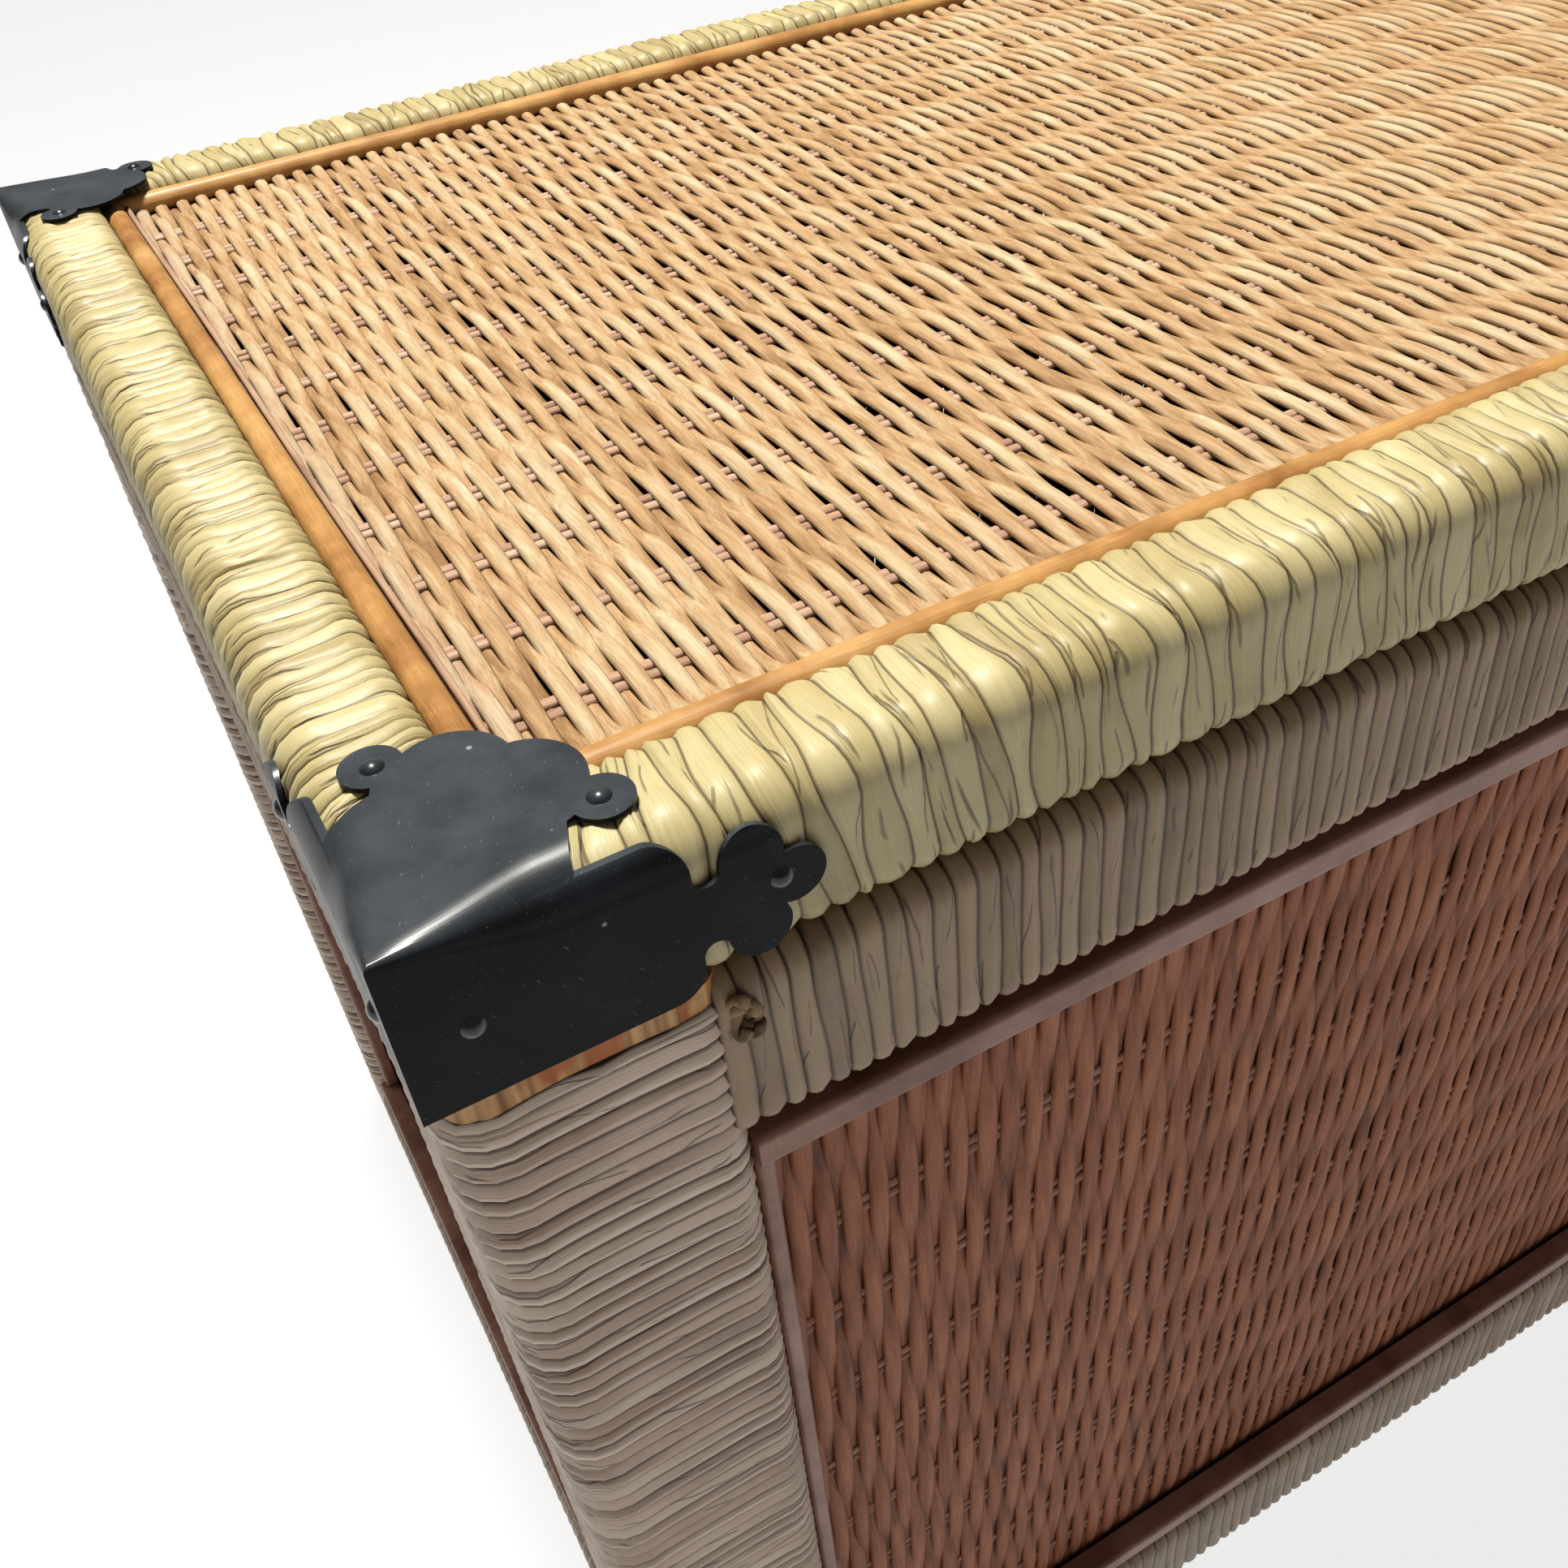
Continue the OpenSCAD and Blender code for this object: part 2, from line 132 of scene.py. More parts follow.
def section_path(width, height, radii, arc_steps, flat_steps):
    """Points round a box section, with their outward directions, their travel from the middle of the inner
    side, and where they are on a fold. The first number of a point is its depth from the outer side. Radii:
    inner top, outer top, outer and inner bottom."""
    centres = [(width - radii[0], height - radii[0]), (radii[1], height - radii[1]),
               (radii[2], radii[2]), (width - radii[3], radii[3])]
    points, outward = [], []
    for k, (centre, radius) in enumerate(zip(centres, radii)):
        for step in range(arc_steps + 1):
            angle = math.radians(90 * k + 90 * step / arc_steps)
            way = (math.cos(angle), math.sin(angle))
            points.append((centre[0] + radius * way[0], centre[1] + radius * way[1]))
            outward.append(way)
    points = [(width, height / 2)] + points + [(width, height / 2)]
    outward = [(1.0, 0.0)] + outward + [(1.0, 0.0)]
    path, ways, fold = [], [], []
    for k in range(len(points) - 1):
        start, end = np.array(points[k]), np.array(points[k + 1])
        flat = k % (arc_steps + 1) == 0
        steps = flat_steps if flat and 0 < k < len(points) - 2 else (flat_steps + 1) // 2 if flat else 1
        for step in range(steps):
            share = step / steps
            path.append(start + (end - start) * share)
            ways.append(np.array(outward[k]))
            fold.append(0.0 if flat and step > 0 else 1.0)
    path.append(np.array(points[-1]))
    ways.append(np.array(outward[-1]))
    fold.append(0.0)
    path, ways = np.array(path), np.array(ways)
    travel = np.concatenate([[0.0], np.cumsum(np.linalg.norm(np.diff(path, axis=0), axis=1))])
    return path, ways, travel, np.array(fold)


def wound_strips(name, length, pitch, path, ways, travel, fold, groove, slant, unruly, plump, seed,
                 ragged=0.0):
    """A closed sleeve of wound strip along a length. Returns the mesh with (run, depth, height) as its
    vertices' places, and a UV map 'turns' that counts turns along it and metres round it. An unruly wrap's
    turns vary more in width, and cross each other's edges more. A low plump makes them rounder."""
    rng = np.random.default_rng(seed)
    turns = max(int(round(length / pitch)), 3)
    widths = pitch * (1 + 0.5 * unruly * (rng.random(turns) - 0.5))
    edges = np.concatenate([[0.0], np.cumsum(widths)])
    edges *= length / edges[-1]
    round_share = travel / travel[-1]
    wander = np.zeros((turns + 1, len(travel)))
    for wave, size in ((1, 0.12), (2, 0.16), (3, 0.13), (5, 0.04)):
        phase = rng.random(turns + 1) * 2 * math.pi
        share = size * pitch * unruly * (0.3 + rng.random(turns + 1))
        wander += share[:, None] * np.sin(2 * math.pi * wave * round_share[None, :] + phase[:, None])
    lean = slant * pitch * np.sin(2 * math.pi * (round_share - 0.5)) / (2 * math.pi) * 2
    borders = edges[:, None] + wander + lean[None, :]
    ends = ragged * rng.normal(size=(2, len(travel)))
    ends[:, -1] = ends[:, 0]
    borders[0], borders[-1] = ends[0], length + ends[1]
    borders[1:-1] = np.clip(borders[1:-1], pitch * 0.2, length - pitch * 0.2)
    crease_at = 0.5 + 0.26 * np.sin(2 * math.pi * (round_share[None, :] * rng.integers(1, 4, turns)[:, None]
                                    + rng.random(turns)[:, None]))
    crease_depth = np.sin(2 * math.pi * (round_share[None, :] * rng.integers(2, 5, turns)[:, None]
                          + rng.random(turns)[:, None]))
    deepest = unruly * np.clip(rng.random(turns) * 1.6 - 0.5, 0, 1)
    crease_depth = np.clip(crease_depth, 0, 1) * deepest[:, None]
    plumpness = unruly * ((0.5 * rng.random(turns))[:, None] + 0.10 * wander[:-1] / (0.1 * pitch))
    per_turn = 6
    rows = turns * per_turn + 1
    run = np.zeros((rows, len(travel)))
    lift = np.zeros_like(run)
    count = np.zeros_like(run)
    pinch = np.zeros_like(run)
    for step in range(per_turn):
        share = [np.zeros_like(crease_at), np.full_like(crease_at, 0.08), crease_at * 0.5,
                 crease_at - 0.09, crease_at, crease_at + 0.09][step]
        share = np.clip(share, 0.0, 0.95)
        rise = -groove * np.abs(2 * share - 1) ** plump - 0.0004 * np.clip(plumpness, 0, 1) * (step > 0)
        if step == 4:
            rise = rise - 0.0007 * crease_depth
            pinch[step:-1:per_turn] = crease_depth
        run[step:-1:per_turn] = borders[:-1] + share * (borders[1:] - borders[:-1])
        lift[step:-1:per_turn] = rise - 0.00025 * (1 - fold)[None, :] * (step > 0)
        count[step:-1:per_turn] = np.arange(turns)[:, None] + share
    run[-1], lift[-1], count[-1] = borders[-1], -groove, turns
    lift[0] = -groove
    lift[:, -1] = lift[:, 0]
    run[:, -1] = run[:, 0]
    bm = bmesh.new()
    bmesh.ops.create_grid(bm, x_segments=rows - 1, y_segments=len(travel) - 1, size=1.0)
    mesh = bpy.data.meshes.new(name)
    bm.to_mesh(mesh)
    bm.free()
    flat = np.zeros(len(mesh.vertices) * 3)
    mesh.vertices.foreach_get("co", flat)
    flat = flat.reshape(-1, 3)
    row = np.round((flat[:, 0] + 1) / 2 * (rows - 1)).astype(int)
    col = np.round((flat[:, 1] + 1) / 2 * (len(travel) - 1)).astype(int)
    section = path[col] + ways[col] * lift[row, col][:, None]
    place = np.column_stack([run[row, col], section])
    mesh.vertices.foreach_set("co", place.ravel())
    corner_vertex = np.zeros(len(mesh.loops), int)
    mesh.loops.foreach_get("vertex_index", corner_vertex)
    turn_map = mesh.uv_layers.new(name="turns")
    pairs = np.column_stack([count[row, col], travel[col]])[corner_vertex]
    turn_map.uv.foreach_set("vector", pairs.ravel())
    in_groove = (row % per_turn == 0).astype(float)
    for label, values in (("in_groove", in_groove), ("pinch", pinch[row, col])):
        layer = mesh.attributes.new(label, "FLOAT", "POINT")
        layer.data.foreach_set("value", values)
    return mesh


def close_sleeve(mesh):
    """Joins the sleeve's lengthwise seam, fills its two ends, and keeps its grooves crisp."""
    bm = bmesh.new()
    bm.from_mesh(mesh)
    bmesh.ops.remove_doubles(bm, verts=bm.verts, dist=1e-7)
    bmesh.ops.holes_fill(bm, edges=[e for e in bm.edges if e.is_boundary], sides=0)
    bmesh.ops.recalc_face_normals(bm, faces=bm.faces)
    bm.to_mesh(mesh)
    bm.free()
    mesh.shade_smooth()
    ends = np.zeros(len(mesh.edges) * 2, int)
    mesh.edges.foreach_get("vertices", ends)
    groove = np.zeros(len(mesh.vertices))
    mesh.attributes["in_groove"].data.foreach_get("value", groove)
    crisp = mesh.attributes.get("sharp_edge") or mesh.attributes.new("sharp_edge", "BOOLEAN", "EDGE")
    crisp.data.foreach_set("value", groove[ends.reshape(-1, 2)].min(axis=1) > 0.5)


def lacquered_leaf(name, pale, straw, shade, crease_and_groove_shade, gloss=0.36, groove_shade_from=0.42, shade_and_grime=None):
    """Dry leaf under lacquer: straw yellow, ribbed along the strip, satin, dark where it is pinched."""
    finish, tree, shader, place = new_finish(
        name, IOR=1.5, Specular_IOR_Level=0.36, Coat_Weight=0.1, Coat_Roughness=0.3)
    turn_map = add_node(tree, "ShaderNodeUVMap", uv_map="turns").outputs[0]
    parts = add_node(tree, "ShaderNodeSeparateXYZ", {0: turn_map})
    turn = add_node(tree, "ShaderNodeMath", {0: parts.outputs[0]}, operation="FLOOR").outputs[0]
    share = add_node(tree, "ShaderNodeMath", {0: parts.outputs[0]}, operation="FRACT").outputs[0]
    own = add_node(tree, "ShaderNodeTexWhiteNoise", {"W": turn}, noise_dimensions="1D")
    # Ribs of the leaf are about 0.25 mm apart across a 5.5 mm strip, and run on for 20 mm.
    rib_place = add_node(tree, "ShaderNodeCombineXYZ", {0: parts.outputs[0], 1: parts.outputs[1], 2: turn})
    rib_scale = add_node(tree, "ShaderNodeVectorMath", {0: rib_place.outputs[0], 1: (20.0, 45.0, 3.7)},
                         operation="MULTIPLY")
    ribs = add_node(tree, "ShaderNodeTexNoise", {"Vector": rib_scale.outputs[0], "Scale": 1.0, "Detail": 3.0})
    pinch = add_node(tree, "ShaderNodeAttribute", attribute_name="pinch").outputs["Fac"]
    line = add_node(tree, "ShaderNodeMapRange", {"Value": pinch, "From Min": 0.08, "From Max": 0.5,
                    "To Min": 0.0, "To Max": 1.0})
    # Two families of hair creases cross the strips at a low angle, broken into runs of a centimetre or two.
    wobble = add_node(tree, "ShaderNodeTexNoise", {"Vector": place, "Scale": 1 / 0.03, "Detail": 2.0})
    bent = add_node(tree, "ShaderNodeMath", {0: wobble.outputs["Fac"], 1: 1.3, 2: parts.outputs[0]},
                    operation="MULTIPLY_ADD")
    line = line.outputs[0]
    for turns_per_metre, patch_size in ((27.0, 0.011), (-17.0, 0.014)):
        slant = add_node(tree, "ShaderNodeMath",
                         {0: parts.outputs[1], 1: turns_per_metre, 2: bent.outputs[0]},
                         operation="MULTIPLY_ADD")
        slant = add_node(tree, "ShaderNodeMath", {0: slant.outputs[0], 1: 1.0}, operation="PINGPONG")
        hair = add_node(tree, "ShaderNodeMapRange", {"Value": slant.outputs[0], "From Min": 0.02,
                        "From Max": 0.055, "To Min": 0.9, "To Max": 0.0})
        patch = add_node(tree, "ShaderNodeTexNoise", {"Vector": place, "Scale": 1 / patch_size,
                         "Detail": 1.0})
        patch = add_node(tree, "ShaderNodeMapRange", {"Value": patch.outputs["Fac"], "From Min": 0.47,
                         "From Max": 0.54, "To Min": 0.0, "To Max": 1.0})
        hair = add_node(tree, "ShaderNodeMath", {0: hair.outputs[0], 1: patch.outputs[0]},
                        operation="MULTIPLY")
        line = add_node(tree, "ShaderNodeMath", {0: line, 1: hair.outputs[0]}, operation="MAXIMUM").outputs[0]
    # The grooves between turns are darkened towards the crease colour, as painted shade.
    edge = add_node(tree, "ShaderNodeMath", {0: share, 1: 0.5}, operation="SUBTRACT")
    edge = add_node(tree, "ShaderNodeMath", {0: edge.outputs[0]}, operation="ABSOLUTE")
    groove_shade_line = add_node(tree, "ShaderNodeMapRange", {"Value": edge.outputs[0], "From Min": groove_shade_from,
                         "From Max": 0.49, "To Min": 0.0, "To Max": 1.0})
    stains = add_node(tree, "ShaderNodeTexNoise", {"Vector": place, "Scale": 1 / 0.022, "Detail": 4.0,
                      "Roughness": 0.65})
    tone = add_node(tree, "ShaderNodeMath", {0: own.outputs["Value"], 1: 0.30, 2: 0.20},
                    operation="MULTIPLY_ADD")
    tone = add_node(tree, "ShaderNodeMath", {0: stains.outputs["Fac"], 1: 0.45, 2: tone.outputs[0]},
                    operation="MULTIPLY_ADD")
    colour = add_node(tree, "ShaderNodeValToRGB", {"Fac": tone.outputs[0]},
                      [(0.26, shade), (0.72, pale), (0.48, straw)])
    plain = colour.outputs[0]
    if shade_and_grime is not None:
        # Painted shade, with some dirt, darkens the face below the fold. It rises over this part of the way
        # round and holds beyond it.
        below = add_node(tree, "ShaderNodeMapRange", {"Value": parts.outputs[1], "From Min": shade_and_grime[0],
                         "From Max": shade_and_grime[1], "To Min": 0.0, "To Max": 0.42})
        plain = add_node(tree, "ShaderNodeMix", {0: below.outputs[0], 6: plain, 7: linear("#5A4028")},
                         data_type="RGBA").outputs[2]
    rib_tone = add_node(tree, "ShaderNodeMapRange", {"Value": ribs.outputs["Fac"], "From Min": 0.3,
                        "From Max": 0.7, "To Min": 0.88, "To Max": 1.06})
    ribbed = add_node(tree, "ShaderNodeMix", {0: 1.0, 6: plain, 7: rib_tone.outputs[0]},
                      data_type="RGBA", blend_type="MULTIPLY")
    line_part = add_node(tree, "ShaderNodeMath", {0: line, 1: 0.66}, operation="MULTIPLY")
    creased = add_node(tree, "ShaderNodeMix", {0: line_part.outputs[0], 6: ribbed.outputs[2],
                       7: linear(crease_and_groove_shade)}, data_type="RGBA")
    groove_shade_part = add_node(tree, "ShaderNodeMath", {0: groove_shade_line.outputs[0], 1: 0.85}, operation="MULTIPLY")
    groove_shaded = add_node(tree, "ShaderNodeMix", {0: groove_shade_part.outputs[0], 6: creased.outputs[2],
                     7: linear(crease_and_groove_shade)}, data_type="RGBA")
    rough = add_node(tree, "ShaderNodeMapRange", {"Value": ribs.outputs["Fac"], "To Min": gloss - 0.06,
                     "To Max": gloss + 0.2})
    high = add_node(tree, "ShaderNodeMath", {0: line, 1: -1.6, 2: ribs.outputs["Fac"]},
                    operation="MULTIPLY_ADD")
    bump = add_node(tree, "ShaderNodeBump", {"Height": high.outputs[0], "Strength": 0.5, "Distance": 0.00035})
    tree.links.new(groove_shaded.outputs[2], shader.inputs["Base Color"])
    tree.links.new(rough.outputs[0], shader.inputs["Roughness"])
    tree.links.new(bump.outputs[0], shader.inputs["Normal"])
    return finish


leaf_on_lid = lacquered_leaf("lacquered_leaf_lid", "#B2A67C", "#A19367", "#7C6646", "#382A1A", 0.42,
                             shade_and_grime=(0.071, 0.089))
# The case's and posts' leaf is the lid's leaf darkened by painted shade, and the posts' is tinted bluish by it.
shaded_leaf_on_case = lacquered_leaf("lacquered_leaf_case_painted_shade", "#927A5C", "#80684C", "#624933", "#281B13", 0.4,
                              groove_shade_from=0.38)
shaded_leaf_on_posts = lacquered_leaf("lacquered_leaf_posts_painted_shade", "#C2AE9A", "#AC9480", "#86705F", "#33261E", 0.4,
                               groove_shade_from=0.33)


def finish_wrap(name, mesh, node, body, finish):
    """Puts a wound sleeve in the scene in place of its CAD node."""
    close_sleeve(mesh)
    wrap = bpy.data.objects.new(name, mesh)
    bpy.context.scene.collection.objects.link(wrap)
    mesh.materials.append(finish)
    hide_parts(node)
    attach(wrap, body)


def place_on_side(side, lo, hi, run, depth, height):
    """Frame places for a rail on one side: its run from the left or front end, its depth from outside."""
    if side == "front":
        return np.column_stack([lo.x + run, lo.y + depth, lo.z + height])
    if side == "back":
        return np.column_stack([lo.x + run, hi.y - depth, lo.z + height])
    if side == "left":
        return np.column_stack([lo.x + depth, lo.y + run, lo.z + height])
    return np.column_stack([hi.x - depth, lo.y + run, lo.z + height])


def move_vertices(mesh, new_place):
    """Sends every vertex to new_place(its old places)."""
    old = np.zeros(len(mesh.vertices) * 3)
    mesh.vertices.foreach_get("co", old)
    mesh.vertices.foreach_set("co", new_place(old.reshape(-1, 3)).ravel())


# The lid's wraps fan out over this length at each end, and the case's run this far into the posts' wraps.
mitre_reach = 0.062
post_tuck = 0.0045
rail_tiers = {
    # Each tier has its body, its edge radii (inner top, outer top, outer bottom, inner bottom), pitch,
    # groove depth, slant, unruliness, plumpness and finish.
    "lid": ("lid", (0.006, 0.010, 0.008, 0.004), 0.0063, 0.0014, 1.6, 1.0, 2.6, leaf_on_lid),
    "rim": ("case", (0.005, 0.008, 0.006, 0.005), 0.0055, 0.0015, 0.5, 0.4, 2.2, shaded_leaf_on_case),
    "base": ("case", (0.005, 0.008, 0.006, 0.005), 0.0060, 0.0014, 0.5, 0.4, 2.2, shaded_leaf_on_case),
}
seed = 100
for tier, (body, radii, pitch, groove, slant, unruly, plump, finish) in rail_tiers.items():
    for side in sides:
        seed += 1
        node = tier + "_" + side + "_wrap"
        lo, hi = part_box(node)
        long_side = side in ("front", "back")
        tuck = 0.0 if tier == "lid" else post_tuck
        length = (hi.x - lo.x if long_side else hi.y - lo.y) + 2 * tuck
        depth = hi.y - lo.y if long_side else hi.x - lo.x
        flat_steps = 3 if tier == "base" else 5
        outline = section_path(depth, hi.z - lo.z, radii, 3 if tier == "base" else 4, flat_steps)
        strip_pitch = pitch * (0.82 if tier == "lid" and side == "left" else 1.0)
        mesh = wound_strips(node, length, strip_pitch, *outline, groove, slant, unruly, plump, seed)

        def on_side(v, side=side, lo=lo, hi=hi, length=length, tuck=tuck, mitred=tier == "lid"):
            run = v[:, 0] - tuck
            if mitred:
                # The mitred ends fan out under the corner brackets.
                low = np.clip((mitre_reach - run) / mitre_reach, 0, 1)
                high = np.clip((run - length + mitre_reach) / mitre_reach, 0, 1)
                run = run + low * (v[:, 1] + 0.0001) - high * (v[:, 1] + 0.0001)
            return place_on_side(side, lo, hi, run, v[:, 1], v[:, 2])

        move_vertices(mesh, on_side)
        finish_wrap(tier + "_" + side + "_wound_leaf", mesh, node, body, finish)

for corner in corners:
    seed += 1
    node = corner + "_post_wrap"
    lo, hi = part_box(node)
    outline = section_path(hi.x - lo.x, hi.y - lo.y, (0.008, 0.008, 0.012, 0.008), 4, 6)
    mesh = wound_strips(node, hi.z - lo.z, 0.0054, *outline, groove=0.00145, slant=0.9, unruly=0.34,
                        plump=2.0, seed=seed, ragged=0.0008)
    near_x, way_x = (lo.x, 1) if "left" in corner else (hi.x, -1)
    near_y, way_y = (lo.y, 1) if "front" in corner else (hi.y, -1)
    move_vertices(mesh, lambda v: np.column_stack([near_x + way_x * v[:, 1], near_y + way_y * v[:, 2],
                                                   lo.z + v[:, 0]]))
    finish_wrap(corner + "_post_wound_leaf", mesh, node, "case", shaded_leaf_on_posts)


# ---- Woven panels
# Peeled reeds pressed flat, 4.6 mm wide on the lid, 5.8 mm on the walls and 2.7 to 2.8 mm thick, woven over
# and under pairs of stakes. They are wider than their spacing, so neighbours run 1 to 2 mm into each other. The
# lid's run from front to back and the walls' stand upright, and beads and strips hold the panels' edges.

def peeled_reed(name, grain, dark, mid, light, dust=None):
    """Peeled reed under worn lacquer: golden tan, streaked along its grain, with painted light on its raised
    turns and painted shade where it dips under.
    """
    finish, tree, shader, place = new_finish(
        name, IOR=1.5, Specular_IOR_Level=0.18, Coat_Weight=0.02, Coat_Roughness=0.4)
    own = add_node(tree, "ShaderNodeAttribute", attribute_name="own_tone").outputs["Fac"]
    raised = add_node(tree, "ShaderNodeAttribute", attribute_name="raised").outputs["Fac"]
    # Grain streaks are 0.35 mm wide and 15 mm long; smudges are 12 mm across.
    stretch = [1 / 0.015 if axis == grain else 1 / 0.00035 for axis in "XYZ"]
    lines = add_node(tree, "ShaderNodeMapping", {"Vector": place, "Scale": stretch})
    streaks = add_node(tree, "ShaderNodeTexNoise", {"Vector": lines.outputs[0], "Scale": 1.0, "Detail": 3.0})
    broad = [1 / 0.030 if axis == grain else 1 / 0.0030 for axis in "XYZ"]
    broad = add_node(tree, "ShaderNodeMapping", {"Vector": place, "Scale": broad})
    smudges = add_node(tree, "ShaderNodeTexNoise", {"Vector": broad.outputs[0], "Scale": 1.0, "Detail": 4.0,
                       "Roughness": 0.6})
    tone = add_node(tree, "ShaderNodeMath", {0: own, 1: 0.20, 2: -0.10}, operation="MULTIPLY_ADD")
    tone = add_node(tree, "ShaderNodeMath", {0: smudges.outputs["Fac"], 1: tone.outputs[0]}, operation="ADD")
    # Raised turns get painted light and dipping ones painted shade.
    crown_light_and_dip_shade = add_node(tree, "ShaderNodeMath", {0: raised, 1: 0.10, 2: tone.outputs[0]},
                      operation="MULTIPLY_ADD")
    colour = add_node(tree, "ShaderNodeValToRGB", {"Fac": crown_light_and_dip_shade.outputs[0]},
                      [(0.25, dark), (0.78, light), (0.5, mid)])
    streak_tone = add_node(tree, "ShaderNodeMapRange", {"Value": streaks.outputs["Fac"], "From Min": 0.3,
                           "From Max": 0.7, "To Min": 0.74, "To Max": 1.1})
    streaked = add_node(tree, "ShaderNodeMix", {0: 1.0, 6: colour.outputs[0], 7: streak_tone.outputs[0]},
                        data_type="RGBA", blend_type="MULTIPLY")
    result = streaked.outputs[2]
    if dust is not None:
        # Dust has settled in the first 12 mm beside the left bead.
        across = add_node(tree, "ShaderNodeSeparateXYZ", {0: place}).outputs[0]
        near = add_node(tree, "ShaderNodeMapRange", {"Value": across, "From Min": dust,
                        "From Max": dust + 0.012, "To Min": 0.75, "To Max": 0.0})
        patchy = add_node(tree, "ShaderNodeMath", {0: near.outputs[0], 1: smudges.outputs["Fac"]},
                          operation="MULTIPLY")
        result = add_node(tree, "ShaderNodeMix", {0: patchy.outputs[0], 6: result, 7: linear("#9C8F85")},
                          data_type="RGBA").outputs[2]
    rough = add_node(tree, "ShaderNodeMapRange", {"Value": streaks.outputs["Fac"], "To Min": 0.56,
                     "To Max": 0.8})
    bump = add_node(tree, "ShaderNodeBump", {"Height": streaks.outputs["Fac"], "Strength": 0.6,
                    "Distance": 0.0003})
    tree.links.new(result, shader.inputs["Base Color"])
    tree.links.new(rough.outputs[0], shader.inputs["Roughness"])
    tree.links.new(bump.outputs[0], shader.inputs["Normal"])
    return finish


def reed_bundle(name, paths, radii, raised, tones, finish, body, press=(1, 1, 1), roundness=2):
    """Reeds along lists of points, as one mesh. Each has its own tone, and knows where it is raised. press
    widens or flattens their round section along each of the frame's axes."""
    curve = bpy.data.curves.new(name, "CURVE")
    curve.dimensions = "3D"
    curve.bevel_depth = 1.0
    curve.bevel_resolution = roundness
    for points, thick in zip(paths, radii):
        spline = curve.splines.new("POLY")
        spline.points.add(len(points) - 1)
        spline.points.foreach_set("co", np.column_stack([points, np.ones(len(points))]).ravel())
        spline.points.foreach_set("radius", thick)
    drawn = bpy.data.objects.new(name + "_drawn", curve)
    bpy.context.scene.collection.objects.link(drawn)
    bpy.context.view_layer.update()
    mesh = bpy.data.meshes.new_from_object(drawn.evaluated_get(bpy.context.evaluated_depsgraph_get()))
    bpy.data.objects.remove(drawn)
    mesh.name = name
    per_point = len(mesh.vertices) // sum(len(points) for points in paths)
    middles = np.repeat(np.concatenate(paths), per_point, axis=0)
    move_vertices(mesh, lambda v: middles + (v - middles) * np.array(press))
    own_tones = [np.full(len(points), tone) for points, tone in zip(paths, tones)]
    for label, values in (("own_tone", own_tones), ("raised", raised)):
        layer = mesh.attributes.new(label, "FLOAT", "POINT")
        layer.data.foreach_set("value", np.repeat(np.concatenate(values), per_point))
    bm = bmesh.new()
    bm.from_mesh(mesh)
    bmesh.ops.holes_fill(bm, edges=[e for e in bm.edges if e.is_boundary], sides=0)
    bmesh.ops.recalc_face_normals(bm, faces=bm.faces)
    bm.to_mesh(mesh)
    bm.free()
    mesh.shade_smooth()
    mesh.materials.clear()
    mesh.materials.append(finish)
    reeds = bpy.data.objects.new(name, mesh)
    bpy.context.scene.collection.objects.link(reeds)
    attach(reeds, body)
    return reeds


def woven_panel(name, node, body, across_range, along_range, pairs, pitch, reed_radius, stake_radius, place,
                swing, press, stake_press, reed_finish, stake_finish, seed, parts=1):
    """A plain weave of reeds over pairs of stakes. place(across, along, out) gives frame places, where out
    is the distance outwards from the panel's middle plane, and swing is how far a reed goes each way. press
    flattens and widens the reeds."""
    rng = np.random.default_rng(seed)
    gap = pairs[1] - pairs[0]
    count = int((across_range[1] - across_range[0]) / pitch)
    first = across_range[0] + (across_range[1] - across_range[0] - (count - 1) * pitch) / 2
    points = int((along_range[1] - along_range[0]) / (gap / 6)) + 1
    along = np.linspace(along_range[0], along_range[1], points)
    wave = np.cos(math.pi * (along - pairs[0]) / gap)
    wave = np.sign(wave) * np.abs(wave) ** 0.85
    paths, radii, raised = [], [], []
    for k in range(count):
        way = 1 if k % 2 else -1
        out = way * swing * wave * (1 + 0.08 * (rng.random() - 0.5))
        drift = 0.00035 * np.sin(along / 0.11 + rng.random() * 6.3) + 0.00022 * rng.normal()
        lean = 0.00030 * way * np.sin(math.pi * (along - pairs[0]) / gap) * (0.4 + rng.random())
        across = first + k * pitch + drift + lean
        paths.append(place(across, along, out))
        pinch = np.where(way * wave > 0, 0.05, 0.07) * way * wave
        radii.append(reed_radius * (1 + 0.04 * rng.normal()) * (1 + pinch))
        raised.append(way * wave)
    tones = rng.random(count)
    pieces = []
    share = -(-count // parts)
    for part in range(parts):
        chosen = slice(part * share, (part + 1) * share)
        label = name + "_reeds" + ("_%d" % (part + 1) if parts > 1 else "")
        pieces.append(reed_bundle(label, paths[chosen], radii[chosen], raised[chosen], tones[chosen],
                                  reed_finish, body, press))
    paths, radii, raised = [], [], []
    stake_points = 60
    run = np.linspace(across_range[0], across_range[1], stake_points)
    for pair in pairs:
        for way in (-1, 1):
            along = pair + way * stake_radius * 1.04 + 0.0003 * np.sin(run / 0.05 + rng.random() * 6.3)
            out = 0.00025 * np.sin(run / 0.03 + rng.random() * 6.3)
            paths.append(place(run, along, out))
            radii.append(np.full(stake_points, stake_radius))
            raised.append(np.zeros(stake_points))
    stakes = reed_bundle(name + "_stakes", paths, radii, raised, rng.random(len(paths)), stake_finish, body,
                         stake_press)
    for piece in pieces + [stakes]:
        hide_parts(node)


